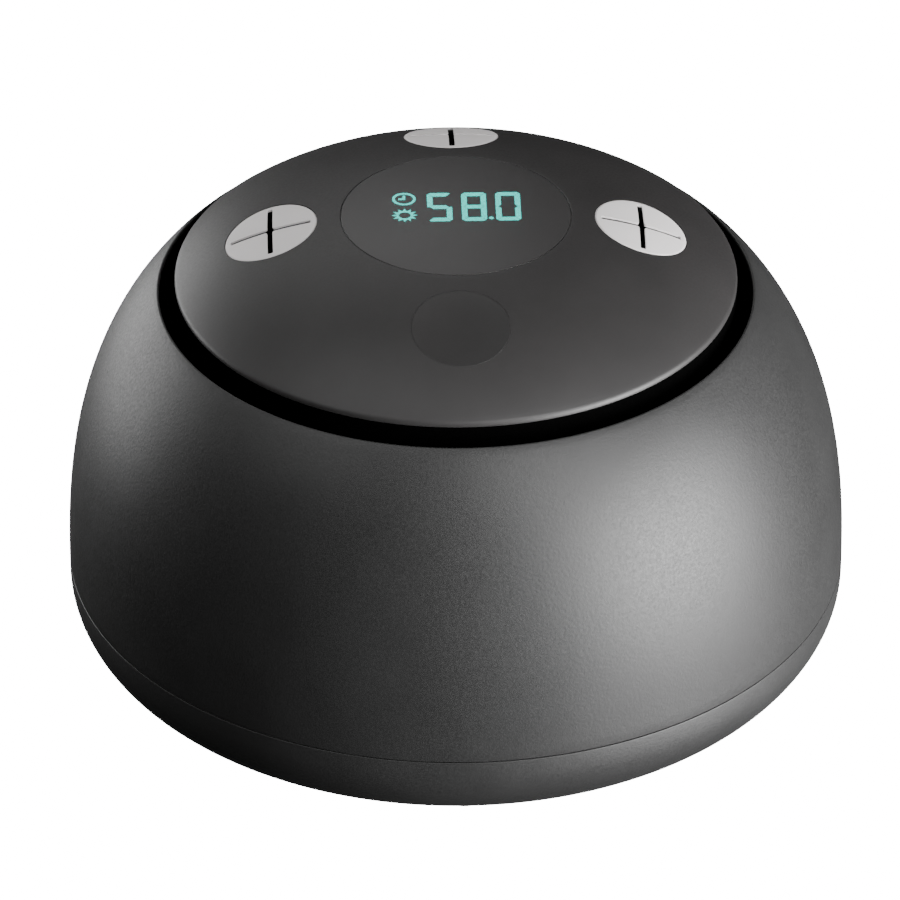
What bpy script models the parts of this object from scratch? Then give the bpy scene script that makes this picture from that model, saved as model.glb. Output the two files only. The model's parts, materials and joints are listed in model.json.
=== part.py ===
# Domed dry block heater with three slit tube ports, a display window and one dished key.
# Metres, +Z up. The origin is under the middle of the base, on the plane the feet stand on.
# The front is -Y: the key faces it, and the power inlet is at the rear.

import math

import bmesh
import bpy
from mathutils import Matrix, Vector

MM = 0.001

# Outer form. The dome is a superellipse over the widest circle, the foot corner a quarter ellipse.
BODY_RADIUS = 60 * MM
FOOT_DROP = 2 * MM
CORNER_RISE = 12 * MM
CORNER_RUN = 14.6 * MM
DOME_RISE = 62 * MM
DOME_RADIAL_POWER = 2.78
DOME_HEIGHT_POWER = 2.54
WIDEST_HEIGHT = FOOT_DROP + CORNER_RISE
SEAM_HEIGHT = WIDEST_HEIGHT + 2.5 * MM
SEAM_GAP = 0.15 * MM
WALL = 2.4 * MM
CLEARANCE = 0.3 * MM
FINE_GAP = 0.1 * MM

# Cap, groove and the ledge that the cap is screwed to.
OPENING_RADIUS = 45.3 * MM
CAP_RADIUS = 43 * MM
SKIRT_INNER = 40.8 * MM
LEDGE_INNER = 40 * MM
LEDGE_TOP = 58.2 * MM
LEDGE_THICKNESS = 1.6 * MM
SEAL_THICKNESS = 0.8 * MM
SKIRT_BOTTOM = LEDGE_TOP + SEAL_THICKNESS + 0.4 * MM
CAP_SCREW_CIRCLE = 38.6 * MM

# Display in the middle of the cap. The window is flat and thin, with the digits close under it.
WINDOW_RADIUS = 17.4 * MM
WINDOW_TOP = 75.2 * MM
WINDOW_FLOOR = 74.2 * MM
WINDOW_LEDGE = 1.2 * MM
WINDOW_SHOULDER = 18.6 * MM
DISPLAY_SHIFT = 4.2 * MM
APERTURE = (25 * MM, 13.6 * MM)
MODULE_SIZE = (24 * MM, 12.8 * MM, 6.8 * MM)
MODULE_TOP = 74 * MM
DISPLAY_BOARD_SIZE = (30 * MM, 24 * MM, 1.6 * MM)
DISPLAY_BOSS_PLACE = (13.2 * MM, 10.2 * MM)

# Ports and wells, on one circle with the key.
PORT_CIRCLE = 28.15 * MM
PORT_RADIUS = 7.3 * MM
PORT_ANGLES = {"left": 180, "rear": 90, "right": 0}
SLIT_LENGTH = 12.7 * MM
SLIT_WIDTH = 0.67 * MM
SLIT_EYE = 0.75 * MM
WELL_RADIUS = 5.6 * MM
WELL_FLOOR = 34 * MM
WELL_TIP = 2 * MM
GUIDE_RADIUS = 8 * MM
GUIDE_BORE = 6.1 * MM
GUIDE_MOUTH = 6.3 * MM
COLLAR_RADIUS = 8.7 * MM
FLANGE_RADIUS = 8.6 * MM
SPOT_FACE_RADIUS = 8.9 * MM

# Depths below the dome, along its normal, under a port or the key.
TRIM_SPARE = 2 * MM
SPOT_FACE_TOP = -2.6 * MM
SPOT_FACE_BOTTOM = -8 * MM
FLANGE_TOP = SPOT_FACE_TOP - CLEARANCE
FLANGE_BOTTOM = -4.1 * MM
MEMBRANE_UNDER = -1.6 * MM
MEMBRANE_HOLLOW = 6.4 * MM
COLLAR_TOP = FLANGE_BOTTOM - CLEARANCE
COLLAR_BOTTOM = -6.2 * MM

# Key, in its own tilted frame.
KEY_ANGLE = -90
KEY_RADIUS = PORT_RADIUS
KEY_DISH_DEPTH = 1.0 * MM
KEY_FLANGE_RADIUS = 8.5 * MM
KEY_FLANGE_BOTTOM = -3.7 * MM
KEY_STEM_RADIUS = 2 * MM
KEY_STEM_END = -5.4 * MM
PLUNGER_RADIUS = 1.7 * MM
PLUNGER_TOP = KEY_STEM_END - 0.2 * MM
PLUNGER_BOTTOM = -7.6 * MM
SWITCH_TOP = -6.6 * MM
SWITCH_BORE_DEPTH = 1.9 * MM
KEY_BOARD_SIZE = (26 * MM, 12 * MM, 1 * MM)
KEY_SCREW_PLACE = 10.5 * MM
SWITCH_SIZE = (6 * MM, 6 * MM, 3.4 * MM)

# Heated core, stacked from the tray upwards.
BLOCK_RADIUS = 38 * MM
BLOCK_BOTTOM = 26.5 * MM
BLOCK_TOP = 53 * MM
JACKET_OUTER = 43.8 * MM
TRAY_RADIUS = 44.6 * MM
TRAY_BOTTOM = 19.5 * MM
TRAY_THICKNESS = 1 * MM
HEATER_RADIUS = 34 * MM
PAD_THICKNESS = 0.8 * MM
PLATE_THICKNESS = 1 * MM
LID_THICKNESS = 1.3 * MM
CUTOUT_RADIUS = 7.5 * MM
SENSOR_RADIUS = 1.5 * MM
BLOCK_SCREW_CIRCLE = 18 * MM
SENSOR_PLACE = (-9 * MM, -6 * MM)
HEATER_LEAD_PLACE = (13 * MM, 21 * MM)

# Base.
FLOOR_TOP = FOOT_DROP + WALL
ROOT_DEPTH = 0.8 * MM
FOOT_CIRCLE = 38 * MM
CASE_ANGLES = (270, 30, 150)
FOOT_RADIUS = 5 * MM
FOOT_RECESS = 1 * MM
CASE_SCREW_CIRCLE = 49 * MM
CASE_SCREW_BOTTOM = 4 * MM
COUNTERBORE_RADIUS = 3 * MM
COUNTERBORE_TOP = 6.3 * MM
PILLAR_RADIUS = 4.2 * MM
PILLAR_TOP = 8.3 * MM
VENT_COUNT = 8
VENT_CIRCLE = 20 * MM
VENT_SIZE = (11 * MM, 1.8 * MM, 8 * MM)
TRAY_POST_CIRCLE = 47.6 * MM
TRAY_POST_ANGLES = (0, 120, 240)
BOARD_SCREW_CIRCLE = 37.5 * MM
BOARD_RADIUS = 41.5 * MM
BOARD_BOTTOM = 7.3 * MM
BOARD_THICKNESS = 1.6 * MM
BOARD_TOP = BOARD_BOTTOM + BOARD_THICKNESS
INLET_HEIGHT = 12 * MM
INLET_RECESS = 2.6 * MM
INLET_RECESS_RADIUS = 5.2 * MM
INLET_HOLE_RADIUS = 4.3 * MM
INLET_NOSE_RADIUS = 4.1 * MM
INLET_NOSE_LENGTH = 4.2 * MM
INLET_BODY_RADIUS = 4.6 * MM
INLET_LENGTH = 12 * MM
SOCKET_RADIUS = 3 * MM
SOCKET_PIN_RADIUS = 1.05 * MM
SOCKET_DEPTH = 9 * MM

# The four places between the ports and the key.
CORNER_ANGLES = (45, 135, 225, 315)

SHELL_SIDES = 40
CORE_SIDES = 32
PORT_SIDES = 24
SMALL_SIDES = 8

parts = bpy.data.collections.new("dry_block_heater")
cutters = bpy.data.collections.new("cutters")


def clear_scene():
    for item in list(bpy.data.objects):
        bpy.data.objects.remove(item, do_unlink=True)
    bpy.context.scene.collection.children.link(parts)
    bpy.context.scene.collection.children.link(cutters)


def make_material(name, colour, roughness, metallic=0.0):
    made = bpy.data.materials.new(name)
    made.use_nodes = True
    shader = made.node_tree.nodes["Principled BSDF"]
    shader.inputs["Base Color"].default_value = (*colour, 1.0)
    shader.inputs["Roughness"].default_value = roughness
    shader.inputs["Metallic"].default_value = metallic
    return made


materials = {
    "casing": make_material("casing_plastic", (0.045, 0.045, 0.047), 0.42),
    "cap": make_material("cap_plastic", (0.05, 0.047, 0.047), 0.45),
    "silicone": make_material("port_silicone", (0.50, 0.47, 0.45), 0.6),
    "black_rubber": make_material("black_rubber", (0.012, 0.012, 0.012), 0.85),
    "window": make_material("smoked_window", (0.03, 0.03, 0.03), 0.15),
    "display": make_material("display_face", (0.05, 0.35, 0.33), 0.4),
    "board": make_material("circuit_board", (0.02, 0.16, 0.07), 0.5),
    "aluminium": make_material("block_aluminium", (0.72, 0.73, 0.74), 0.35, 1.0),
    "steel": make_material("sheet_steel", (0.55, 0.55, 0.56), 0.4, 1.0),
    "screw": make_material("screw_steel", (0.45, 0.45, 0.46), 0.35, 1.0),
    "foam": make_material("insulating_foam", (0.75, 0.72, 0.66), 0.95),
    "film": make_material("heater_film", (0.60, 0.28, 0.06), 0.35),
    "guide": make_material("guide_plastic", (0.08, 0.08, 0.08), 0.5),
    "component": make_material("component_black", (0.02, 0.02, 0.022), 0.5),
    "red_lead": make_material("red_lead", (0.5, 0.02, 0.02), 0.5),
    "black_lead": make_material("black_lead", (0.015, 0.015, 0.015), 0.5),
    "white_plastic": make_material("connector_plastic", (0.8, 0.78, 0.72), 0.5),
}


def dome_height(radius):
    share = 1 - (radius / BODY_RADIUS) ** DOME_RADIAL_POWER
    return WIDEST_HEIGHT + DOME_RISE * share ** (1 / DOME_HEIGHT_POWER)


def dome_radius(height):
    share = 1 - ((height - WIDEST_HEIGHT) / DOME_RISE) ** DOME_HEIGHT_POWER
    return BODY_RADIUS * share ** (1 / DOME_RADIAL_POWER)


def dome_slope(radius):
    step = 0.01 * MM
    return math.atan((dome_height(radius - step) - dome_height(radius + step)) / (2 * step))


# Points of the dome from one radius out to another, moved inwards along the normal by inset.
def dome_run(inner, outer, count, inset=0.0):
    start = math.acos((inner / BODY_RADIUS) ** (DOME_RADIAL_POWER / 2))
    end = math.acos((outer / BODY_RADIUS) ** (DOME_RADIAL_POWER / 2))
    points = []
    for index in range(count):
        angle = start + (end - start) * index / (count - 1)
        across = math.cos(angle)
        up = math.sin(angle)
        radius = BODY_RADIUS * across ** (2 / DOME_RADIAL_POWER)
        height = DOME_RISE * up ** (2 / DOME_HEIGHT_POWER)
        normal_r = DOME_RADIAL_POWER * (radius / BODY_RADIUS) ** (DOME_RADIAL_POWER - 1) / BODY_RADIUS
        normal_z = DOME_HEIGHT_POWER * (height / DOME_RISE) ** (DOME_HEIGHT_POWER - 1) / DOME_RISE
        size = math.hypot(normal_r, normal_z)
        points.append((radius - inset * normal_r / size,
                       WIDEST_HEIGHT + height - inset * normal_z / size))
    return points


# Points round the foot corner, from the widest circle down to the flat underside.
def corner_run(count, inset=0.0):
    run = CORNER_RUN - inset
    rise = CORNER_RISE - inset
    centre = BODY_RADIUS - CORNER_RUN
    angles = [math.pi / 2 * index / (count - 1) for index in range(count)]
    return [(centre + run * math.cos(a), WIDEST_HEIGHT - rise * math.sin(a)) for a in angles]


def polar(circle, degrees, height=0.0):
    angle = math.radians(degrees)
    return Vector((circle * math.cos(angle), circle * math.sin(angle), height))


def place(item, location, rotation):
    item.location = location
    item.rotation_euler = rotation
    return item


def add_object(name, mesh, material=None, smooth=True):
    item = bpy.data.objects.new(name, mesh)
    if material:
        parts.objects.link(item)
        mesh.materials.append(materials[material])
    else:
        cutters.objects.link(item)
        item.hide_render = True
        item.display_type = "WIRE"
    if smooth and mesh.polygons:
        mesh.shade_smooth()
        mesh.set_sharp_from_angle(angle=math.radians(35))
    return item


# A turned solid. The outline runs down its outer side; a closed one makes a ring.
def turned(name, outline, material=None, sides=SHELL_SIDES, closed=False,
           location=(0, 0, 0), rotation=(0, 0, 0)):
    mesh = bpy.data.meshes.new(name)
    edges = [(i, i + 1) for i in range(len(outline) - 1)]
    if closed:
        edges.append((len(outline) - 1, 0))
    mesh.from_pydata([(r, 0, z) for r, z in outline], edges, [])
    item = add_object(name, mesh, material)
    screw = item.modifiers.new("turn", "SCREW")
    screw.axis = "Z"
    screw.angle = 2 * math.pi
    screw.steps = sides
    screw.render_steps = sides
    screw.use_merge_vertices = True
    screw.merge_threshold = 0.00001
    screw.use_smooth_shade = True
    return place(item, location, rotation)


def cylinder(name, radius, bottom, top, material=None, sides=SMALL_SIDES,
             location=(0, 0, 0), rotation=(0, 0, 0), top_radius=None):
    mesh = bpy.data.meshes.new(name)
    bm = bmesh.new()
    bmesh.ops.create_cone(bm, cap_ends=True, segments=sides, radius1=radius,
                          radius2=radius if top_radius is None else top_radius, depth=top - bottom)
    bmesh.ops.translate(bm, verts=bm.verts, vec=(0, 0, (top + bottom) / 2))
    bm.to_mesh(mesh)
    bm.free()
    return place(add_object(name, mesh, material), location, rotation)


def box(name, size, centre, material=None, location=(0, 0, 0), rotation=(0, 0, 0), bevel=0.0):
    mesh = bpy.data.meshes.new(name)
    bm = bmesh.new()
    bmesh.ops.create_cube(bm, size=1.0)
    bmesh.ops.scale(bm, verts=bm.verts, vec=size)
    bmesh.ops.translate(bm, verts=bm.verts, vec=centre)
    bm.to_mesh(mesh)
    bm.free()
    item = add_object(name, mesh, material, smooth=False)
    if bevel:
        rounding = item.modifiers.new("round", "BEVEL")
        rounding.width = bevel
        rounding.segments = 2
    return place(item, location, rotation)


def combine(item, others, operation="DIFFERENCE"):
    for other in others:
        step = item.modifiers.new(operation.lower() + "_" + other.name[:24], "BOOLEAN")
        step.operation = operation
        step.solver = "EXACT"
        step.object = other
    return item


# A lead is a round-section curve with filled caps through hand-placed points.
def lead(name, points, radius, material):
    curve = bpy.data.curves.new(name, "CURVE")
    curve.dimensions = "3D"
    curve.bevel_depth = radius
    curve.bevel_resolution = 2
    curve.use_fill_caps = True
    spline = curve.splines.new("POLY")
    smooth = smooth_path(points, 3)
    spline.points.add(len(smooth) - 1)
    for point, place_at in zip(spline.points, smooth):
        point.co = (*place_at, 1.0)
    curve.materials.append(materials[material])
    item = bpy.data.objects.new(name, curve)
    parts.objects.link(item)
    return item


# A Catmull-Rom curve through the points, with a few steps in each span.
def smooth_path(points, steps):
    knots = [Vector(p) for p in points]
    knots = [2 * knots[0] - knots[1]] + knots + [2 * knots[-1] - knots[-2]]
    path = []
    for a, b, c, d in zip(knots, knots[1:], knots[2:], knots[3:]):
        for index in range(steps):
            t = index / steps
            path.append(0.5 * (2 * b + (c - a) * t + (2 * a - 5 * b + 4 * c - d) * t ** 2
                               + (3 * b - a - 3 * c + d) * t ** 3))
    path.append(knots[-2])
    return path


# Where a port or the key sits on the dome, with its local +Z along the dome's normal.
def dome_seat(degrees):
    location = polar(PORT_CIRCLE, degrees, dome_height(PORT_CIRCLE))
    return location, (0, dome_slope(PORT_CIRCLE), math.radians(degrees))


def seat_point(degrees, local):
    location, rotation = dome_seat(degrees)
    turn = Matrix.Rotation(rotation[2], 3, "Z") @ Matrix.Rotation(rotation[1], 3, "Y")
    return location + turn @ Vector(local)


def make_upper_shell():
    lip_outer = BODY_RADIUS - WALL - CLEARANCE
    lip_inner = lip_outer - 1.4 * MM
    ledge_bottom = LEDGE_TOP - LEDGE_THICKNESS
    wall_top = dome_radius(ledge_bottom)
    outline = dome_run(OPENING_RADIUS, dome_radius(SEAM_HEIGHT), 9)
    outline += [(lip_outer, SEAM_HEIGHT), (lip_outer, SEAM_HEIGHT - 2 * MM)]
    outline += [(lip_inner, SEAM_HEIGHT - 2 * MM), (lip_inner, SEAM_HEIGHT + 1.5 * MM)]
    outline += dome_run(wall_top, dome_radius(SEAM_HEIGHT + 4 * MM), 5, WALL)[::-1][:-1]
    outline += [(wall_top - WALL, ledge_bottom), (LEDGE_INNER, ledge_bottom)]
    outline += [(LEDGE_INNER, LEDGE_TOP), (OPENING_RADIUS, LEDGE_TOP)]
    shell = turned("upper_shell", outline, "casing", closed=True)
    added = []
    removed = []
    for angle in CASE_ANGLES:
        boss_at = polar(CASE_SCREW_CIRCLE, angle)
        added.append(cylinder(f"case_boss_{angle}", 3.4 * MM, 8.6 * MM, 38 * MM, location=boss_at))
        added.append(box(f"case_rib_{angle}", (8 * MM, 1.6 * MM, 19 * MM), (53.2 * MM, 0, 28 * MM),
                         rotation=(0, 0, math.radians(angle))))
        removed.append(cylinder(f"case_bore_{angle}", 1.45 * MM, 8 * MM, 22 * MM, location=boss_at))
    for angle in CORNER_ANGLES:
        added.append(cylinder(f"cap_ear_{angle}", 3.6 * MM, ledge_bottom, LEDGE_TOP,
                              location=polar(CAP_SCREW_CIRCLE, angle)))
        removed.append(cylinder(f"cap_ear_bore_{angle}", 1.5 * MM, ledge_bottom - 1 * MM,
                                LEDGE_TOP + 1 * MM, location=polar(CAP_SCREW_CIRCLE, angle)))
    removed.append(box("inlet_notch", (12 * MM, 8 * MM, 4.2 * MM), (0, lip_outer - 3.7 * MM, 15.1 * MM)))
    combine(shell, added, "UNION")
    combine(shell, removed)


def make_lower_shell():
    seam = SEAM_HEIGHT - SEAM_GAP
    outline = [(0, FLOOR_TOP)] + corner_run(5, WALL)[::-1]
    outline += [(BODY_RADIUS - WALL, seam), (BODY_RADIUS, seam)]
    outline += corner_run(7) + [(0, FOOT_DROP)]
    shell = turned("lower_shell", outline, "casing")
    added = []
    removed = []
    for angle in CASE_ANGLES:
        pillar_at = polar(CASE_SCREW_CIRCLE, angle)
        added.append(cylinder(f"pillar_{angle}", PILLAR_RADIUS, FLOOR_TOP - ROOT_DEPTH, PILLAR_TOP,
                              location=pillar_at))
        removed.append(cylinder(f"pillar_bore_{angle}", 1.6 * MM, 0, PILLAR_TOP + 1 * MM,
                                location=pillar_at))
        removed.append(cylinder(f"counterbore_{angle}", COUNTERBORE_RADIUS, 0, COUNTERBORE_TOP,
                                location=pillar_at))
        removed.append(cylinder(f"foot_recess_{angle}", FOOT_RADIUS + CLEARANCE, 0, FOOT_DROP + FOOT_RECESS,
                                sides=16, location=polar(FOOT_CIRCLE, angle)))
    for angle in CORNER_ANGLES:
        board_at = polar(BOARD_SCREW_CIRCLE, angle)
        added.append(cylinder(f"board_boss_{angle}", 3 * MM, FLOOR_TOP - ROOT_DEPTH,
                              BOARD_BOTTOM - CLEARANCE, location=board_at))
        removed.append(cylinder(f"board_bore_{angle}", 1.3 * MM, FLOOR_TOP - 1 * MM, 9 * MM,
                                location=board_at))
    for angle in TRAY_POST_ANGLES:
        post_at = polar(TRAY_POST_CIRCLE, angle)
        added.append(cylinder(f"tray_post_{angle}", 3.8 * MM, FLOOR_TOP - ROOT_DEPTH,
                              TRAY_BOTTOM - CLEARANCE, location=post_at))
        removed.append(cylinder(f"tray_post_bore_{angle}", 1.4 * MM, 12 * MM, 21 * MM, location=post_at))
    for index in range(VENT_COUNT):
        turn = math.radians((index + 0.5) * 360 / VENT_COUNT)
        removed.append(box(f"vent_{index}", VENT_SIZE, (VENT_CIRCLE, 0, FOOT_DROP), rotation=(0, 0, turn)))
    rear = (math.radians(-90), 0, 0)
    seat = BODY_RADIUS - INLET_RECESS
    removed.append(cylinder("inlet_recess", INLET_RECESS_RADIUS, seat, 70 * MM, sides=16,
                            location=(0, 0, INLET_HEIGHT), rotation=rear))
    removed.append(cylinder("inlet_hole", INLET_HOLE_RADIUS, 50 * MM, 70 * MM, sides=16,
                            location=(0, 0, INLET_HEIGHT), rotation=rear))
    combine(shell, added, "UNION")
    combine(shell, removed)


def make_feet():
    for index, angle in enumerate(CASE_ANGLES, start=1):
        cylinder(f"foot_{index}", FOOT_RADIUS - 0.6 * MM, 0, FOOT_DROP + FOOT_RECESS - CLEARANCE,
                 "black_rubber", sides=16, location=polar(FOOT_CIRCLE, angle), top_radius=FOOT_RADIUS)


# A screw as one turned solid, head down at its bottom, shank up.
def screw(name, head_radius, head_height, shank_radius, length, location, rotation=(0, 0, 0)):
    outline = [(0, head_height + length), (shank_radius, head_height + length)]
    outline += [(shank_radius, head_height), (head_radius, head_height), (head_radius, 0), (0, 0)]
    turned(name, outline, "screw", SMALL_SIDES, location=location, rotation=rotation)


def make_case_screws():
    for index, angle in enumerate(CASE_ANGLES, start=1):
        screw(f"case_screw_{index}", 2.6 * MM, 2 * MM, 1.15 * MM, 14 * MM,
              polar(CASE_SCREW_CIRCLE, angle, CASE_SCREW_BOTTOM))


def make_cap_seal():
    bottom = LEDGE_TOP + 0.2 * MM
    inner = LEDGE_INNER + 1.2 * MM
    outer = OPENING_RADIUS - CLEARANCE
    outline = [(inner, bottom + SEAL_THICKNESS), (outer, bottom + SEAL_THICKNESS)]
    outline += [(outer, bottom), (inner, bottom)]
    turned("cap_seal", outline, "black_rubber", closed=True)


def make_top_cap():
    pocket = WINDOW_RADIUS + FINE_GAP
    under = WINDOW_FLOOR - WINDOW_LEDGE
    rim = CAP_RADIUS - 0.5 * MM
    outline = [(0, WINDOW_FLOOR), (pocket, WINDOW_FLOOR)]
    outline += dome_run(pocket, rim, 7)
    outline += [(CAP_RADIUS, dome_height(CAP_RADIUS) - 0.5 * MM), (CAP_RADIUS, SKIRT_BOTTOM)]
    outline += [(SKIRT_INNER, SKIRT_BOTTOM), (SKIRT_INNER, dome_height(SKIRT_INNER) - 2.7 * MM)]
    outline += dome_run(WINDOW_SHOULDER + 1 * MM, SKIRT_INNER, 4, WALL)[::-1][1:]
    outline += [(WINDOW_SHOULDER, under), (0, under)]
    cap = turned("top_cap", outline, "cap")
    added = []
    removed = []
    for angle in CORNER_ANGLES:
        boss_at = polar(CAP_SCREW_CIRCLE, angle)
        added.append(cylinder(f"cap_boss_{angle}", 3 * MM, SKIRT_BOTTOM, 64.6 * MM, location=boss_at))
        removed.append(cylinder(f"cap_boss_bore_{angle}", 1.3 * MM, SKIRT_BOTTOM - 1 * MM, 63 * MM,
                                location=boss_at))
    boss_x, boss_y = DISPLAY_BOSS_PLACE
    board_top = MODULE_TOP - MODULE_SIZE[2] - CLEARANCE
    for side in (-1, 1):
        at = (side * boss_x, side * boss_y + DISPLAY_SHIFT, 0)
        added.append(cylinder(f"display_boss_{side}", 1.8 * MM, board_top + CLEARANCE,
                              under + 0.5 * MM, location=at))
        removed.append(cylinder(f"display_bore_{side}", 1 * MM, board_top - 1 * MM,
                                under - 0.4 * MM, location=at))
    seat, turn = dome_seat(KEY_ANGLE)
    for side in (-1, 1):
        across = side * KEY_SCREW_PLACE
        added.append(cylinder(f"key_boss_{side}", 1.8 * MM, -10 * MM, SPOT_FACE_TOP,
                              location=seat_point(KEY_ANGLE, (0, across, 0)), rotation=turn))
        removed.append(cylinder(f"key_boss_bore_{side}", 0.95 * MM, -11 * MM, -4.6 * MM,
                                location=seat_point(KEY_ANGLE, (0, across, 0)), rotation=turn))
    removed.append(box("display_aperture", (*APERTURE, 10 * MM), (0, DISPLAY_SHIFT, WINDOW_FLOOR)))
    for name, angle in {**PORT_ANGLES, "key": KEY_ANGLE}.items():
        seat, turn = dome_seat(angle)
        removed.append(cylinder(f"{name}_hole", PORT_RADIUS + FINE_GAP, -6 * MM, 6 * MM,
                                sides=PORT_SIDES, location=seat, rotation=turn))
        removed.append(cylinder(f"{name}_spot_face", SPOT_FACE_RADIUS, SPOT_FACE_BOTTOM, SPOT_FACE_TOP,
                                sides=PORT_SIDES, location=seat, rotation=turn))
    combine(cap, added, "UNION")
    combine(cap, removed)


def make_cap_screws():
    for index, angle in enumerate(CORNER_ANGLES, start=1):
        height = LEDGE_TOP - LEDGE_THICKNESS - CLEARANCE - 1.3 * MM
        screw(f"cap_screw_{index}", 2.4 * MM, 1.3 * MM, 1 * MM, 6.2 * MM,
              polar(CAP_SCREW_CIRCLE, angle, height))


def make_display():
    bottom = WINDOW_FLOOR + FINE_GAP
    outline = [(0, WINDOW_TOP), (WINDOW_RADIUS, WINDOW_TOP), (WINDOW_RADIUS, bottom), (0, bottom)]
    turned("display_window", outline, "window")
    top = MODULE_TOP - MODULE_SIZE[2] / 2
    box("display_module", MODULE_SIZE, (0, DISPLAY_SHIFT, top), "display")
    board_top = MODULE_TOP - MODULE_SIZE[2] - CLEARANCE
    board = box("display_board", DISPLAY_BOARD_SIZE,
                (0, DISPLAY_SHIFT, board_top - DISPLAY_BOARD_SIZE[2] / 2), "board")
    boss_x, boss_y = DISPLAY_BOSS_PLACE
    holes = []
    for number, side in enumerate((-1, 1), start=1):
        at = Vector((side * boss_x, side * boss_y + DISPLAY_SHIFT, 0))
        holes.append(cylinder(f"display_board_hole_{number}", 1.1 * MM, 60 * MM, 70 * MM, location=at))
        at.z = board_top - DISPLAY_BOARD_SIZE[2] - CLEARANCE - 1 * MM
        screw(f"display_screw_{number}", 1.8 * MM, 1 * MM, 0.75 * MM, 6 * MM, at)
    combine(board, holes)


# The dome as a solid, to give the ports and the key a flush top.
def make_dome_trim():
    outline = [(0, dome_height(0))] + dome_run(4 * MM, 50 * MM, 10) + [(50 * MM, 40 * MM), (0, 40 * MM)]
    return turned("dome_trim", outline, sides=SHELL_SIDES)


def make_ports(dome_trim):
    for name, angle in PORT_ANGLES.items():
        seat, turn = dome_seat(angle)
        outline = [(0, TRIM_SPARE), (PORT_RADIUS, TRIM_SPARE), (PORT_RADIUS, FLANGE_TOP)]
        outline += [(FLANGE_RADIUS, FLANGE_TOP), (FLANGE_RADIUS, FLANGE_BOTTOM)]
        outline += [(MEMBRANE_HOLLOW, FLANGE_BOTTOM), (MEMBRANE_HOLLOW, MEMBRANE_UNDER), (0, MEMBRANE_UNDER)]
        membrane = turned(f"port_membrane_{name}", outline, "silicone", PORT_SIDES,
                          location=seat, rotation=turn)
        combine(membrane, [dome_trim], "INTERSECT")
        slits = [box(f"{name}_slit_x", (SLIT_LENGTH, SLIT_WIDTH, 12 * MM), (0, 0, 0),
                     location=seat, rotation=turn),
                 box(f"{name}_slit_y", (SLIT_WIDTH, SLIT_LENGTH, 12 * MM), (0, 0, 0),
                     location=seat, rotation=turn),
                 cylinder(f"{name}_slit_eye", SLIT_EYE, -6 * MM, 6 * MM, sides=8,
                          location=seat, rotation=turn)]
        combine(membrane, slits)
        make_guide(name, angle)


# A tilted collar that clamps the membrane's flange, on an upright sleeve down to the well.
def make_guide(name, angle):
    seat, turn = dome_seat(angle)
    guide = cylinder(f"port_guide_{name}", COLLAR_RADIUS, COLLAR_BOTTOM, COLLAR_TOP, "guide", PORT_SIDES,
                     location=seat, rotation=turn)
    upright = polar(PORT_CIRCLE, angle)
    sleeve = cylinder(f"{name}_sleeve", GUIDE_RADIUS, BLOCK_TOP + CLEARANCE, 70 * MM,
                      sides=PORT_SIDES, location=upright)
    above = box(f"{name}_above", (40 * MM, 40 * MM, 20 * MM), (0, 0, 5 * MM),
                location=seat, rotation=turn)
    bore = cylinder(f"{name}_bore", GUIDE_BORE, 50 * MM, 80 * MM, sides=PORT_SIDES, location=upright)
    mouth = cylinder(f"{name}_mouth", GUIDE_MOUTH, -5.4 * MM, 0, sides=PORT_SIDES,
                     location=seat, rotation=turn)
    combine(sleeve, [above])
    combine(guide, [sleeve], "UNION")
    combine(guide, [bore, mouth])


def make_key(dome_trim):
    seat, turn = dome_seat(KEY_ANGLE)
    outline = [(0, TRIM_SPARE), (KEY_RADIUS, TRIM_SPARE), (KEY_RADIUS, FLANGE_TOP)]
    outline += [(KEY_FLANGE_RADIUS, FLANGE_TOP), (KEY_FLANGE_RADIUS, KEY_FLANGE_BOTTOM)]
    outline += [(KEY_STEM_RADIUS, KEY_FLANGE_BOTTOM), (KEY_STEM_RADIUS, KEY_STEM_END), (0, KEY_STEM_END)]
    key = turned("key_button", outline, "cap", PORT_SIDES, location=seat, rotation=turn)
    combine(key, [dome_trim], "INTERSECT")
    reach = KEY_RADIUS - 0.5 * MM
    ball = (reach ** 2 + KEY_DISH_DEPTH ** 2) / (2 * KEY_DISH_DEPTH)
    cup = [(0, 6 * MM), (reach, 6 * MM), (reach, -0.1 * MM)]
    opening = math.asin(reach / ball)
    cup += [(ball * math.sin(opening * (1 - i / 4)), ball * (1 - math.cos(opening * (1 - i / 4)))
             - KEY_DISH_DEPTH - 0.1 * MM) for i in range(1, 5)]
    dish = turned("key_dish", cup, sides=PORT_SIDES, location=seat, rotation=turn)
    combine(key, [dish])
    cylinder("switch_plunger", PLUNGER_RADIUS, PLUNGER_BOTTOM, PLUNGER_TOP, "component",
             location=seat, rotation=turn)
    switch = box("key_switch", SWITCH_SIZE, (0, 0, SWITCH_TOP - SWITCH_SIZE[2] / 2), "component",
                 location=seat, rotation=turn)
    combine(switch, [cylinder("switch_bore", PLUNGER_RADIUS + CLEARANCE, SWITCH_TOP - SWITCH_BORE_DEPTH, 0,
                              location=seat, rotation=turn)])
    board_top = SWITCH_TOP - SWITCH_SIZE[2] - CLEARANCE
    size = (KEY_BOARD_SIZE[1], KEY_BOARD_SIZE[0], KEY_BOARD_SIZE[2])
    board = box("key_board", size, (0, 0, board_top - KEY_BOARD_SIZE[2] / 2), "board",
                location=seat, rotation=turn)
    holes = []
    for number, side in enumerate((-1, 1), start=1):
        across = side * KEY_SCREW_PLACE
        holes.append(cylinder(f"key_board_hole_{number}", 1 * MM, -14 * MM, -9 * MM,
                              location=seat_point(KEY_ANGLE, (0, across, 0)), rotation=turn))
        head = board_top - KEY_BOARD_SIZE[2] - CLEARANCE - 1 * MM
        screw(f"key_screw_{number}", 1.8 * MM, 1 * MM, 0.7 * MM, 6 * MM,
              seat_point(KEY_ANGLE, (0, across, head)), turn)
    combine(board, holes)


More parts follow.
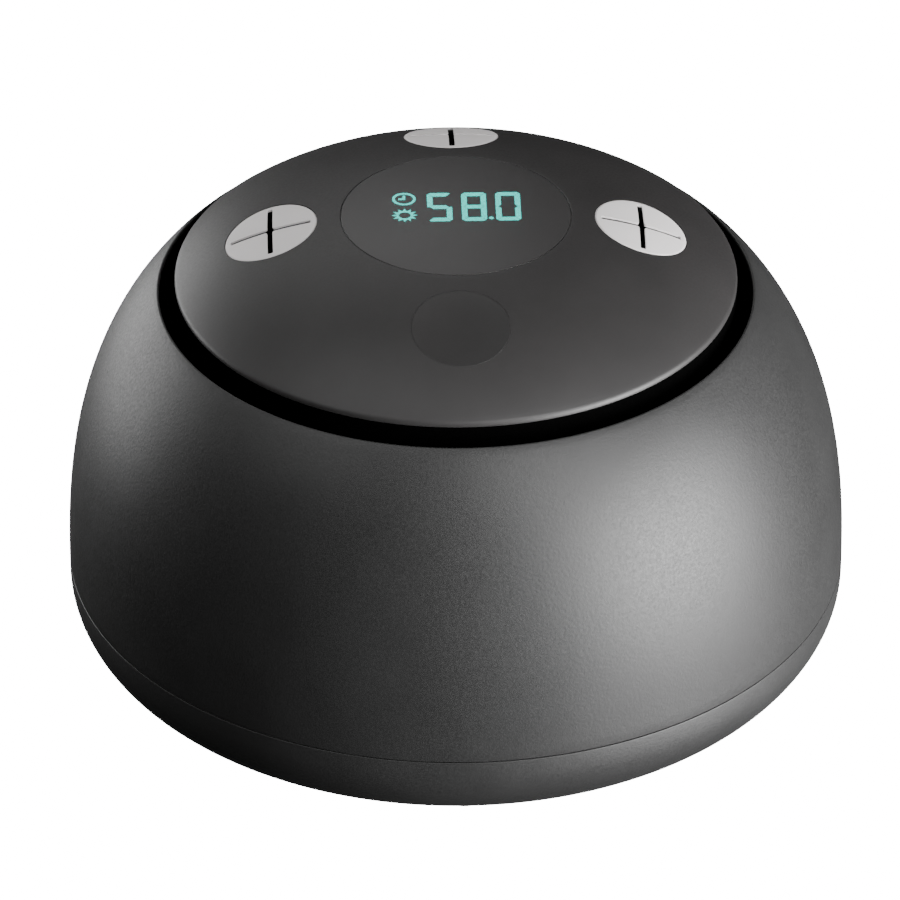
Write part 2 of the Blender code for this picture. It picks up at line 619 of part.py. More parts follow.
def make_block():
    block = cylinder("heating_block", BLOCK_RADIUS, BLOCK_BOTTOM, BLOCK_TOP, "aluminium", CORE_SIDES)
    removed = []
    for name, angle in PORT_ANGLES.items():
        outline = [(0, BLOCK_TOP + 5 * MM), (WELL_RADIUS, BLOCK_TOP + 5 * MM)]
        outline += [(WELL_RADIUS, WELL_FLOOR), (0, WELL_FLOOR - WELL_TIP)]
        removed.append(turned(f"well_{name}", outline, sides=20, location=polar(PORT_CIRCLE, angle)))
    for angle in TRAY_POST_ANGLES:
        removed.append(cylinder(f"block_bore_{angle}", 1.6 * MM, BLOCK_BOTTOM - 1 * MM, 34 * MM,
                                location=polar(BLOCK_SCREW_CIRCLE, angle)))
    removed.append(cylinder("sensor_bore", SENSOR_RADIUS + CLEARANCE, BLOCK_BOTTOM - 1 * MM, 40 * MM,
                            location=(*SENSOR_PLACE, 0)))
    combine(block, removed)


def stack_holes(name, bottom, top, lead_radius):
    holes = [cylinder(f"{name}_screw_hole_{angle}", 1.8 * MM, bottom, top,
                      location=polar(BLOCK_SCREW_CIRCLE, angle)) for angle in TRAY_POST_ANGLES]
    holes.append(cylinder(f"{name}_sensor_hole", 2 * MM, bottom, top, location=(*SENSOR_PLACE, 0)))
    if lead_radius:
        holes.append(cylinder(f"{name}_lead_hole", lead_radius, bottom, top,
                              location=(*HEATER_LEAD_PLACE, 0)))
    return holes


def make_heater():
    top = BLOCK_BOTTOM - CLEARANCE
    pad = cylinder("heater_pad", HEATER_RADIUS, top - PAD_THICKNESS, top, "film", CORE_SIDES)
    combine(pad, stack_holes("pad", 20 * MM, 30 * MM, 0))
    plate_top = top - PAD_THICKNESS - CLEARANCE
    plate_bottom = plate_top - PLATE_THICKNESS
    plate = cylinder("heater_clamp_plate", HEATER_RADIUS, plate_bottom, plate_top, "steel", CORE_SIDES)
    combine(plate, stack_holes("plate", 20 * MM, 30 * MM, 1.6 * MM))
    base_bottom = TRAY_BOTTOM + TRAY_THICKNESS + CLEARANCE
    base_top = plate_bottom - CLEARANCE
    base = cylinder("insulation_base", BLOCK_RADIUS, base_bottom, base_top, "foam", CORE_SIDES)
    combine(base, stack_holes("base", 18 * MM, 30 * MM, 1.8 * MM))
    combine(base, [cylinder("cutout_pocket", CUTOUT_RADIUS + 0.5 * MM, 18 * MM, 30 * MM, sides=16)])
    cylinder("thermal_cutout", CUTOUT_RADIUS, base_bottom, base_top, "steel", 16)
    jacket = [(BLOCK_RADIUS + 0.4 * MM, BLOCK_TOP), (JACKET_OUTER, BLOCK_TOP)]
    jacket += [(JACKET_OUTER, base_bottom), (BLOCK_RADIUS + 0.4 * MM, base_bottom)]
    turned("insulation_jacket", jacket, "foam", CORE_SIDES, closed=True)
    lid_bottom = BLOCK_TOP + CLEARANCE
    lid = cylinder("insulation_top", JACKET_OUTER, lid_bottom, lid_bottom + LID_THICKNESS, "foam",
                   CORE_SIDES)
    combine(lid, [cylinder(f"{name}_lid_hole", GUIDE_RADIUS + CLEARANCE, 50 * MM, 60 * MM,
                           sides=PORT_SIDES, location=polar(PORT_CIRCLE, angle))
                  for name, angle in PORT_ANGLES.items()])
    cylinder("temperature_sensor", SENSOR_RADIUS, BLOCK_BOTTOM + 1 * MM, 39 * MM, "steel",
             location=(*SENSOR_PLACE, 0))


def make_tray():
    tray_top = TRAY_BOTTOM + TRAY_THICKNESS
    tray = cylinder("block_tray", TRAY_RADIUS, TRAY_BOTTOM, tray_top, "steel", CORE_SIDES)
    ears = []
    holes = stack_holes("tray", 18 * MM, 22 * MM, 1.8 * MM)
    for number, angle in enumerate(TRAY_POST_ANGLES, start=1):
        at = polar(TRAY_POST_CIRCLE, angle)
        ears.append(cylinder(f"tray_ear_{number}", 4 * MM, TRAY_BOTTOM, tray_top, location=at))
        holes.append(cylinder(f"tray_ear_hole_{number}", 1.6 * MM, 18 * MM, 22 * MM, location=at))
        top = polar(TRAY_POST_CIRCLE, angle, tray_top + CLEARANCE + 1.6 * MM)
        screw(f"tray_screw_{number}", 2.5 * MM, 1.6 * MM, 1.1 * MM, 6 * MM, top, (math.pi, 0, 0))
        screw(f"block_screw_{number}", 2.6 * MM, 1.6 * MM, 1.25 * MM, 13 * MM,
              polar(BLOCK_SCREW_CIRCLE, angle, TRAY_BOTTOM - CLEARANCE - 1.6 * MM))
    combine(tray, ears, "UNION")
    combine(tray, holes)


def make_main_board():
    board = cylinder("main_board", BOARD_RADIUS, BOARD_BOTTOM, BOARD_TOP, "board", CORE_SIDES)
    holes = []
    for number, angle in enumerate(CORNER_ANGLES[1::2], start=1):
        holes.append(cylinder(f"main_board_hole_{number}", 1.4 * MM, 5 * MM, 10 * MM,
                              location=polar(BOARD_SCREW_CIRCLE, angle)))
        top = polar(BOARD_SCREW_CIRCLE, angle, BOARD_TOP + CLEARANCE + 1.6 * MM)
        screw(f"board_screw_{number}", 2.4 * MM, 1.6 * MM, 1 * MM, 5 * MM, top, (math.pi, 0, 0))
    combine(board, holes)
    seat = BOARD_TOP + CLEARANCE
    box("heatsink", (16 * MM, 9 * MM, 7 * MM), (-24 * MM, 10 * MM, seat + 3.5 * MM), "aluminium",
        bevel=0.6 * MM)
    box("controller_chip", (9 * MM, 9 * MM, 1.4 * MM), (-4 * MM, -20 * MM, seat + 0.7 * MM), "component")
    cylinder("capacitor", 3.9 * MM, seat, seat + 7.6 * MM, "component", 12, location=(-22 * MM, -12 * MM, 0))
    sounder = cylinder("sounder", 5 * MM, seat, seat + 5.5 * MM, "component", 12,
                       location=(22 * MM, -14 * MM, 0))
    combine(sounder, [cylinder("sounder_hole", 1 * MM, seat + 3 * MM, 20 * MM,
                               location=(22 * MM, -14 * MM, 0))])
    box("heater_connector", (11 * MM, 6 * MM, 5 * MM), (13 * MM, 21 * MM, seat + 2.5 * MM), "white_plastic")


def make_inlet():
    rear = (math.radians(-90), 0, 0)
    face = BODY_RADIUS - INLET_RECESS
    at = (0, 0, INLET_HEIGHT)
    shoulder = face - INLET_NOSE_LENGTH
    outline = [(0, face), (INLET_NOSE_RADIUS, face), (INLET_NOSE_RADIUS, shoulder)]
    outline += [(INLET_BODY_RADIUS, shoulder), (INLET_BODY_RADIUS, face - INLET_LENGTH)]
    outline += [(0, face - INLET_LENGTH)]
    inlet = turned("power_inlet", outline, "component", 16, location=at, rotation=rear)
    socket = [(SOCKET_RADIUS, face + 1 * MM), (SOCKET_RADIUS, face - SOCKET_DEPTH)]
    socket += [(SOCKET_PIN_RADIUS, face - SOCKET_DEPTH), (SOCKET_PIN_RADIUS, face + 1 * MM)]
    combine(inlet, [turned("inlet_socket", socket, sides=SMALL_SIDES, closed=True,
                           location=at, rotation=rear)])


def make_leads():
    seat = BOARD_TOP + CLEARANCE
    inlet_back = BODY_RADIUS - INLET_RECESS - INLET_LENGTH
    for name, material, across in (("red", "red_lead", -2 * MM), ("black", "black_lead", 2 * MM)):
        lead(f"power_lead_{name}",
             [(across, inlet_back - CLEARANCE, INLET_HEIGHT + 1 * MM),
              (across, inlet_back - 5 * MM, INLET_HEIGHT + 1 * MM),
              (across * 1.5, 35 * MM, seat + 3 * MM), (across * 1.5, 33 * MM, seat)],
             0.8 * MM, material)
    heater_bottom = BLOCK_BOTTOM - 2 * CLEARANCE - PAD_THICKNESS
    x, y = HEATER_LEAD_PLACE
    lead("heater_lead", [(x, y, heater_bottom), (x, y, 20 * MM), (x, y, 17 * MM), (x, y, seat + 5.3 * MM)],
         1.2 * MM, "black_lead")
    x, y = SENSOR_PLACE
    lead("sensor_lead", [(x, y, BLOCK_BOTTOM + 0.7 * MM), (x, y, 20 * MM), (x, y, 17 * MM),
                         (x - 1 * MM, y - 3 * MM, seat)], 0.6 * MM, "black_lead")
    out = polar(1, -62)
    board_under = MODULE_TOP - MODULE_SIZE[2] - DISPLAY_BOARD_SIZE[2] - 2 * CLEARANCE
    lead("display_cable",
         [(8 * MM, -6 * MM, board_under), (9 * MM, -8 * MM, 60 * MM),
          (*(out * 20 * MM).xy, 56.6 * MM), (*(out * 28 * MM).xy, 55.7 * MM),
          (*(out * 36 * MM).xy, 55.65 * MM), (*(out * 43.8 * MM).xy, 55.65 * MM),
          (*(out * 45.8 * MM).xy, 53.6 * MM),
          (*(out * 46 * MM).xy, 46 * MM), (*(out * 46 * MM).xy, 24 * MM),
          (*(out * 44.5 * MM).xy, 15.5 * MM), (17 * MM, -31.5 * MM, 14 * MM),
          (16 * MM, -29.5 * MM, 11.6 * MM), (16 * MM, -29.5 * MM, seat)],
         0.8 * MM, "black_lead")


clear_scene()
make_upper_shell()
make_lower_shell()
make_feet()
make_case_screws()
make_cap_seal()
make_top_cap()
make_cap_screws()
make_display()
trim = make_dome_trim()
make_ports(trim)
make_key(trim)
make_block()
make_heater()
make_tray()
make_main_board()
make_inlet()
make_leads()
print("objects in the part:", len(parts.objects))
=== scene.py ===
import json
import math

import bpy
from mathutils import Matrix, Vector


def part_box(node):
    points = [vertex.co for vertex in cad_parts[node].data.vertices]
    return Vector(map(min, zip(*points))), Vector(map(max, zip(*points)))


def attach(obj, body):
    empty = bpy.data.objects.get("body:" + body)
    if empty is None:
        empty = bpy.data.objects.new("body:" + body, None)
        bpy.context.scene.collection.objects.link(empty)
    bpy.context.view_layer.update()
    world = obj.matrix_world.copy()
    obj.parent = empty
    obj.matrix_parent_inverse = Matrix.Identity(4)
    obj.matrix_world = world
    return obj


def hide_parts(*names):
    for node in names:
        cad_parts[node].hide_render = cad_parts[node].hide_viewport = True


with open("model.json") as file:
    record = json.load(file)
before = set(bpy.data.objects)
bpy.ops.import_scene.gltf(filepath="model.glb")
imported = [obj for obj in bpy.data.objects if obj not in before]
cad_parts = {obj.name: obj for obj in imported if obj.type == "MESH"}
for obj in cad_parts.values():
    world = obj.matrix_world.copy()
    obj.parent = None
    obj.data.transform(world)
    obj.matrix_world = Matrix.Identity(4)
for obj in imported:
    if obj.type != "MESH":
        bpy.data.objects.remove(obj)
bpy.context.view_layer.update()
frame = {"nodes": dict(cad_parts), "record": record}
mm = 0.001
print("frame loaded:", len(frame["nodes"]), "nodes")

# The outer form that every visible piece follows.
form = {
    "radius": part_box("upper_shell")[1].x,
    "underside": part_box("lower_shell")[0].z,
    "cornerRise": 12 * mm,
    "cornerRun": 14.6 * mm,
    "domeRise": 62 * mm,
    "radialPower": 2.78,
    "heightPower": 2.54,
    "seamAboveWidest": 2.5 * mm,
    "wall": 2.4 * mm,
    "portCircle": 28.15 * mm,
}
form["widest"] = form["underside"] + form["cornerRise"]
form["seam"] = form["widest"] + form["seamAboveWidest"]
seats = {"right": 0, "rear": 90, "left": 180, "key": -90}


def domeHeight(radius):
    share = 1 - (radius / form["radius"]) ** form["radialPower"]
    return form["widest"] + form["domeRise"] * max(share, 0) ** (1 / form["heightPower"])


def domeRadius(height):
    share = 1 - ((height - form["widest"]) / form["domeRise"]) ** form["heightPower"]
    return form["radius"] * share ** (1 / form["radialPower"])


# Points of the dome between two radii, moved inwards along its normal by inset.
def domeRun(inner, outer, count, inset=0.0):
    power, lift = form["radialPower"], form["heightPower"]
    start = math.acos(min(1, (inner / form["radius"]) ** (power / 2)))
    end = math.acos(min(1, (outer / form["radius"]) ** (power / 2)))
    run = []
    for index in range(count):
        angle = start + (end - start) * index / (count - 1)
        across = math.cos(angle) ** (2 / power)
        up = math.sin(angle) ** (2 / lift)
        normal = Vector((power * across ** (power - 1) / form["radius"],
                         lift * up ** (lift - 1) / form["domeRise"])).normalized()
        run.append((form["radius"] * across - inset * normal.x,
                    form["widest"] + form["domeRise"] * up - inset * normal.y))
    return run


# Points round the foot corner, from the widest circle down to the flat underside.
def cornerRun(count, inset=0.0):
    run = form["cornerRun"] - inset
    rise = form["cornerRise"] - inset
    centre = form["radius"] - form["cornerRun"]
    angles = [math.pi / 2 * index / (count - 1) for index in range(count)]
    return [(centre + run * math.cos(a), form["widest"] - rise * math.sin(a)) for a in angles]


# The frame of a port or the key: origin on the dome, local +Z along its normal, +X outwards.
def seatMatrix(name):
    circle = form["portCircle"]
    step = 0.01 * mm
    slope = math.atan((domeHeight(circle - step) - domeHeight(circle + step)) / (2 * step))
    return (Matrix.Rotation(math.radians(seats[name]), 4, "Z")
            @ Matrix.Translation((circle, 0, domeHeight(circle)))
            @ Matrix.Rotation(slope, 4, "Y"))


# Replaces each corner that has a third number, its radius, by a short arc.
def softened(outline, arcSteps=5):
    smooth = []
    for index, corner in enumerate(outline):
        if len(corner) < 3:
            smooth.append(corner)
            continue
        here = Vector(corner[:2])
        back = (Vector(outline[index - 1][:2]) - here).normalized()
        ahead = (Vector(outline[(index + 1) % len(outline)][:2]) - here).normalized()
        half = back.angle(ahead) / 2
        reach = corner[2] / math.tan(half)
        centre = here + (back + ahead).normalized() * (corner[2] / math.sin(half))
        first = here + back * reach - centre
        sweep = (here + back * reach - centre).angle_signed(here + ahead * reach - centre)
        for step in range(arcSteps + 1):
            turn = -sweep * step / arcSteps
            point = centre + Vector((first.x * math.cos(turn) - first.y * math.sin(turn),
                                     first.x * math.sin(turn) + first.y * math.cos(turn)))
            smooth.append((point.x, point.y))
    return smooth


def deselect():
    if bpy.context.object and bpy.context.object.mode != "OBJECT":
        bpy.ops.object.mode_set(mode="OBJECT")
    bpy.ops.object.select_all(action="DESELECT")


def choose(piece):
    deselect()
    piece.select_set(True)
    bpy.context.view_layer.objects.active = piece


def editAll(piece):
    choose(piece)
    bpy.ops.object.mode_set(mode="EDIT")
    bpy.ops.mesh.select_mode(type="VERT")
    bpy.ops.mesh.select_all(action="SELECT")


def smoothShade(piece, degrees=32):
    choose(piece)
    bpy.ops.object.shade_smooth_by_angle(angle=math.radians(degrees))
    return piece


# Turns every face outwards, judged by the sign of the enclosed volume.
def faceOutwards(piece):
    editAll(piece)
    bpy.ops.mesh.normals_make_consistent(inside=False)
    bpy.ops.object.mode_set(mode="OBJECT")
    volume = sum(face.center.dot(face.normal) * face.area for face in piece.data.polygons)
    if volume < 0:
        editAll(piece)
        bpy.ops.mesh.flip_normals()
        bpy.ops.object.mode_set(mode="OBJECT")
    return piece


# One vertex is drawn along the outline by extruding, then spun round the axis.
def turnPiece(name, outline, steps=144, ring=False):
    deselect()
    bpy.ops.mesh.primitive_circle_add(vertices=3, radius=mm, location=(0, 0, 0))
    piece = bpy.context.object
    piece.name = name
    editAll(piece)
    bpy.ops.mesh.merge(type="CENTER")
    path = outline + [outline[0]] if ring else outline
    bpy.ops.transform.translate(value=(path[0][0], 0, path[0][1]))
    for near, far in zip(path, path[1:]):
        step = (far[0] - near[0], 0, far[1] - near[1])
        bpy.ops.mesh.extrude_region_move(TRANSFORM_OT_translate={"value": step})
    bpy.ops.mesh.select_all(action="SELECT")
    bpy.ops.mesh.remove_doubles(threshold=0.0005 * mm)
    bpy.ops.mesh.spin(steps=steps, angle=2 * math.pi, center=(0, 0, 0), axis=(0, 0, 1))
    bpy.ops.mesh.select_all(action="SELECT")
    bpy.ops.mesh.remove_doubles(threshold=0.002 * mm)
    return faceOutwards(piece)


def rod(name, radius, bottom, top, sides=48):
    deselect()
    bpy.ops.mesh.primitive_cylinder_add(vertices=sides, radius=radius, depth=top - bottom,
                                        location=(0, 0, (top + bottom) / 2))
    piece = bpy.context.object
    piece.name = name
    bpy.ops.object.transform_apply(location=True, rotation=True, scale=True)
    return piece


def block(name, size, centre, bevel=0.0, segments=3, uprightOnly=False):
    deselect()
    bpy.ops.mesh.primitive_cube_add(size=1, location=centre)
    piece = bpy.context.object
    piece.name = name
    piece.scale = size
    bpy.ops.object.transform_apply(location=True, rotation=True, scale=True)
    if bevel:
        editAll(piece)
        bpy.ops.mesh.select_all(action="DESELECT")
        bpy.ops.object.mode_set(mode="OBJECT")
        for edge in piece.data.edges:
            a, b = (piece.data.vertices[i].co for i in edge.vertices)
            edge.select = not uprightOnly or abs(a.z - b.z) > 0.5 * size[2]
        bpy.ops.object.mode_set(mode="EDIT")
        bpy.ops.mesh.select_mode(type="EDGE")
        bpy.ops.mesh.bevel(offset=bevel, segments=segments, affect="EDGES")
        bpy.ops.object.mode_set(mode="OBJECT")
    return piece


def move(piece, matrix):
    piece.data.transform(matrix)
    piece.data.update()
    return piece


def around(piece, degrees):
    return move(piece, Matrix.Rotation(math.radians(degrees), 4, "Z"))


def carve(piece, cutters, operation="DIFFERENCE"):
    for cutter in cutters:
        choose(piece)
        step = piece.modifiers.new("carve", "BOOLEAN")
        step.operation = operation
        step.solver = "EXACT"
        step.object = cutter
        bpy.ops.object.modifier_apply(modifier=step.name)
        bpy.data.objects.remove(cutter, do_unlink=True)
    return piece


def finishPiece(piece, body, material, replaced=()):
    piece.data.materials.clear()
    piece.data.materials.append(material)
    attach(piece, body)
    if replaced:
        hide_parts(*replaced)
    return piece


# Bends a piece made flat in a seat's frame, so that its top follows the dome.
def settleOnDome(piece, seat):
    matrix = seatMatrix(seat)
    fadeStart, fadeEnd = seatLook["bendEnds"]
    for vertex in piece.data.vertices:
        x, y, z = vertex.co
        share = min(1, max(0, (z - fadeEnd) / (fadeStart - fadeEnd)))
        lift = 0.0
        for _ in range(6):
            point = matrix @ Vector((x, y, lift))
            lift -= point.z - domeHeight(math.hypot(point.x, point.y))
        vertex.co.z = z + share * lift
    return move(piece, matrix)


# Wraps one output socket, so that maths on it is written as maths.
class Wire:
    def __init__(self, tree, socket):
        self.tree = tree
        self.socket = socket

    # Adds any node: its settings first, then the values or links of its sockets.
    def node(self, kind, settings=None, sockets=None, output=0):
        made = self.tree.nodes.new(kind)
        for key, value in (settings or {}).items():
            if key == "stops":
                fillRamp(made.color_ramp, value)
            else:
                setattr(made, key, value)
        for key, value in (sockets or {}).items():
            if isinstance(value, Wire):
                self.tree.links.new(value.socket, made.inputs[key])
            else:
                made.inputs[key].default_value = value
        return Wire(self.tree, made.outputs[output])

    def maths(self, operation, first, second=0.0):
        return self.node("ShaderNodeMath", {"operation": operation}, {0: first, 1: second})

    def __add__(self, other):
        return self.maths("ADD", self, other)

    def __radd__(self, other):
        return self.maths("ADD", other, self)

    def __sub__(self, other):
        return self.maths("SUBTRACT", self, other)

    def __rsub__(self, other):
        return self.maths("SUBTRACT", other, self)

    def __mul__(self, other):
        return self.maths("MULTIPLY", self, other)

    def __rmul__(self, other):
        return self.maths("MULTIPLY", other, self)

    def __gt__(self, other):
        return self.maths("GREATER_THAN", self, other)

    def floor(self):
        return self.maths("FLOOR", self)

    def fraction(self):
        return self.maths("FRACT", self)

    def clamp(self):
        return self.node("ShaderNodeClamp", None, {"Value": self})


def fillRamp(ramp, stops):
    while len(ramp.elements) < len(stops):
        ramp.elements.new(0.5)
    for element, (position, value) in zip(ramp.elements, stops):
        element.position = position
        element.color = (value, value, value, 1)


# A new material: its shader, and a wire that carries Object coordinates.
def newMaterial(name, constants=None):
    material = bpy.data.materials.new(name)
    material.use_nodes = True
    tree = material.node_tree
    shader = tree.nodes["Principled BSDF"]
    for key, value in (constants or {}).items():
        shader.inputs[key].default_value = value
    place = tree.nodes.new("ShaderNodeTexCoord")
    return material, shader, Wire(tree, place.outputs["Object"])


def noise(place, scale, detail=2.0, roughness=0.5):
    return place.node("ShaderNodeTexNoise", None,
                      {"Vector": place, "Scale": scale, "Detail": detail, "Roughness": roughness})


# The mix node's colour sockets go by number: factor 0, colours 6 and 7, result 2.
def mixColour(mask, first, second):
    pair = [colour if isinstance(colour, Wire) else (*colour, 1) for colour in (first, second)]
    return mask.node("ShaderNodeMix", {"data_type": "RGBA"}, {0: mask, 6: pair[0], 7: pair[1]}, 2)


def greyRamp(value, start, end):
    return value.node("ShaderNodeValToRGB", {"stops": [(start, 0), (end, 1)]}, {"Fac": value})


def cells(place, scale):
    return place.node("ShaderNodeTexVoronoi", {"feature": "F1"}, {"Vector": place, "Scale": scale})


def feed(shader, wires):
    for key, wire in wires.items():
        wire.tree.links.new(wire.socket, shader.inputs[key])


def bump(height, strength, distance):
    return height.node("ShaderNodeBump", None, {"Height": height, "Strength": strength, "Distance": distance})


plasticLook = {
    "casing": {"dark": (0.016, 0.016, 0.016), "light": (0.024, 0.024, 0.024), "roughness": 0.47,
               "grain": 2400, "grainDepth": 0.026 * mm, "sparkle": 0.4},
    "cap": {"dark": (0.020, 0.019, 0.019), "light": (0.028, 0.0265, 0.0265), "roughness": 0.48,
            "grain": 2600, "grainDepth": 0.006 * mm, "sparkle": 0.25},
    # The key's colours are the cap's, darkened: painted shade that deepens the dish.
    "key": {"dark": (0.0172, 0.0163, 0.0163), "light": (0.0242, 0.0230, 0.0230), "roughness": 0.50,
            "grain": 2600, "grainDepth": 0.006 * mm, "sparkle": 0.25},
}


# Spark-textured moulding: a fine grain in the surface, and a soft mottle in colour and gloss.
def satinPlastic(name, look):
    material, shader, place = newMaterial(name, {"Specular IOR Level": 0.5})
    grain = noise(place, look["grain"], 3.0, 0.6)
    pits = cells(place, look["grain"] * 0.7)
    mottle = noise(place, 85, 4.0, 0.55)
    cloud = noise(place, 22, 2.0)
    handled = greyRamp(mottle * 0.6 + cloud * 0.4, 0.35, 0.68)
    glint = (grain - 0.5) * look["sparkle"]
    feed(shader, {
        "Base Color": mixColour(handled * 0.7 + grain * 0.3, look["dark"], look["light"]),
        "Roughness": (glint + look["roughness"] + (cloud - 0.5) * 0.08).clamp(),
        "Normal": bump(grain + pits * 0.35, 0.8, look["grainDepth"])})
    return material


siliconeLook = {
    "shades": ((0.70, 0.672, 0.668), (0.80, 0.77, 0.765)),
    "constants": {"Subsurface Weight": 0.05, "Subsurface Scale": 0.4 * mm,
                  "Subsurface Radius": (1.0, 0.85, 0.75), "Specular IOR Level": 0.42},
    "roughness": 0.5,
}


def siliconeSkin(name):
    material, shader, place = newMaterial(name, siliconeLook["constants"])
    skin = noise(place, 900, 4.0, 0.6)
    cloud = noise(place, 160, 3.0)
    specks = noise(place, 2600, 1.0) > 0.72
    feed(shader, {
        "Base Color": mixColour((cloud * 0.7 + skin * 0.3 - specks * 0.12).clamp(), *siliconeLook["shades"]),
        "Roughness": siliconeLook["roughness"] + skin * 0.16,
        "Normal": bump(skin + cloud * 0.6, 0.5, 0.02 * mm)})
    return material


rubberLook = {"shades": ((0.010, 0.010, 0.010), (0.040, 0.040, 0.041)), "roughness": 0.78}


def blackRubber(name):
    material, shader, place = newMaterial(name)
    skin = noise(place, 1500, 3.0)
    dust = noise(place, 260, 5.0, 0.65)
    feed(shader, {
        "Base Color": mixColour(greyRamp(dust, 0.55, 0.8) * 0.35, *rubberLook["shades"]),
        "Roughness": rubberLook["roughness"] + skin * 0.12,
        "Normal": bump(skin, 0.6, 0.02 * mm)})
    return material


# Painted shade: a near-black coat with no reflection, darker than any real flock, that paints the groove's
# shade on its seal and walls.
grooveShadeLook = {"shades": ((0.0004, 0.0004, 0.0004), (0.0015, 0.0015, 0.0015)), "roughness": 0.9}


def grooveShadeCoat(name):
    material, shader, place = newMaterial(name, {"Specular IOR Level": 0.0})
    pile = noise(place, 2200, 3.0, 0.7)
    feed(shader, {
        "Base Color": mixColour(pile, *grooveShadeLook["shades"]),
        "Roughness": grooveShadeLook["roughness"] + pile * 0.1,
        "Normal": bump(pile, 0.8, 0.05 * mm)})
    return material


lensLook = {
    "shades": ((0.040, 0.038, 0.038), (0.047, 0.045, 0.045)),
    "constants": {"Specular IOR Level": 0.5, "Alpha": 0.80},
    "roughness": 0.30,
}


def smokedWindow(name):
    material, shader, place = newMaterial(name, lensLook["constants"])
    haze = noise(place, 120, 3.0)
    grain = noise(place, 3200, 2.0)
    feed(shader, {
        "Base Color": mixColour(haze, *lensLook["shades"]),
        "Roughness": lensLook["roughness"] + haze * 0.10 + (grain - 0.5) * 0.1,
        "Normal": bump(grain, 0.35, 0.003 * mm)})
    return material


litLook = {
    "glow": ((0.0, 0.70, 0.60), (0.0, 0.84, 0.74)),
    "constants": {"Base Color": (0.1, 0.5, 0.45, 1), "Roughness": 0.5, "Emission Strength": 34.0},
}


def litSegment(name):
    material, shader, place = newMaterial(name, litLook["constants"])
    feed(shader, {"Emission Color": mixColour(noise(place, 700, 2.0), *litLook["glow"])})
    return material


# Rolled or plated metal; brushed stretches the fine lines along one axis.
def metalFinish(name, dark, light, roughness, grain=900, brushed=None):
    material, shader, place = newMaterial(name, {"Metallic": 1.0})
    drawn = place
    if brushed:
        drawn = place.node("ShaderNodeMapping", None, {"Vector": place, "Scale": brushed})
    lines = noise(drawn, grain, 3.0, 0.6)
    cloud = noise(place, 120, 3.0)
    feed(shader, {
        "Base Color": mixColour(cloud * 0.6 + lines * 0.4, dark, light),
        "Roughness": roughness - 0.08 + lines * 0.16,
        "Normal": bump(lines, 0.35, 0.01 * mm)})
    return material


# Turned aluminium, with the lathe's rings round the block's axis.
def turnedMetal(name):
    material, shader, place = newMaterial(name, {"Metallic": 1.0})
    rings = place.node("ShaderNodeTexWave", {"wave_type": "RINGS", "rings_direction": "Z"},
                       {"Vector": place, "Scale": 380, "Distortion": 0.4, "Detail": 2.0})
    cloud = noise(place, 90, 3.0)
    feed(shader, {
        "Base Color": mixColour(cloud, (0.62, 0.63, 0.64), (0.76, 0.77, 0.78)),
        "Roughness": 0.26 + rings * 0.16,
        "Normal": bump(rings, 0.3, 0.01 * mm)})
    return material


def feltFoam(name):
    material, shader, place = newMaterial(name, {"Sheen Weight": 0.3})
    fibre = noise(place, 500, 5.0, 0.7)
    feed(shader, {
        "Base Color": mixColour(fibre, (0.60, 0.57, 0.50), (0.80, 0.78, 0.72)),
        "Roughness": 0.86 + fibre * 0.12,
        "Normal": bump(fibre + cells(place, 900) * 0.8, 0.9, 0.15 * mm)})
    return material


# Lacquered circuit board: straight copper runs under the green, and a row of soldered pads.
def circuitBoard(name):
    material, shader, place = newMaterial(name, {"Coat Roughness": 0.15})
    x, y = (place.node("ShaderNodeSeparateXYZ", None, {0: place}, axis) for axis in (0, 1))
    bend = noise(place, 60, 0.0)
    runs = (x * 420 + (bend * 3).floor() * 0.37).fraction() > 0.72
    pads = ((x * 200).fraction() > 0.7) * ((y * 200).fraction() > 0.7)
    weave = noise(place, 1800, 2.0)
    copper = (runs * 0.55 + weave * 0.25).clamp()
    green = mixColour(copper, (0.012, 0.10, 0.045), (0.05, 0.24, 0.09))
    feed(shader, {
        "Base Color": mixColour(pads * 0.8, green, (0.62, 0.60, 0.52)),
        "Roughness": 0.34 - pads * 0.1 + weave * 0.12,
        "Coat Weight": 0.35 - pads * 0.3,
        "Normal": bump(runs * 0.6 + pads, 0.4, 0.03 * mm)})
    return material


# Amber heater film with the etched track that runs back and forth inside it.
def heaterFilm(name):
    material, shader, place = newMaterial(name, {"Coat Weight": 0.3})
    track = place.node("ShaderNodeTexWave", {"bands_direction": "Y", "wave_profile": "SIN"},
                       {"Vector": place, "Scale": 120, "Distortion": 1.2, "Detail": 1.0})
    etched = track > 0.45
    cloud = noise(place, 200, 2.0)
    feed(shader, {
        "Base Color": mixColour(etched, (0.66, 0.33, 0.07), (0.30, 0.13, 0.03)),
        "Roughness": 0.28 + cloud * 0.15,
        "Normal": bump(etched + cloud * 0.3, 0.4, 0.03 * mm)})
    return material


def mouldedPlastic(name, dark, light, roughness):
    material, shader, place = newMaterial(name)
    skin = noise(place, 1400, 3.0)
    cloud = noise(place, 150, 3.0)
    feed(shader, {
        "Base Color": mixColour(cloud * 0.7 + skin * 0.3, dark, light),
        "Roughness": roughness + (skin - 0.5) * 0.14,
        "Normal": bump(skin, 0.5, 0.012 * mm)})
    return material


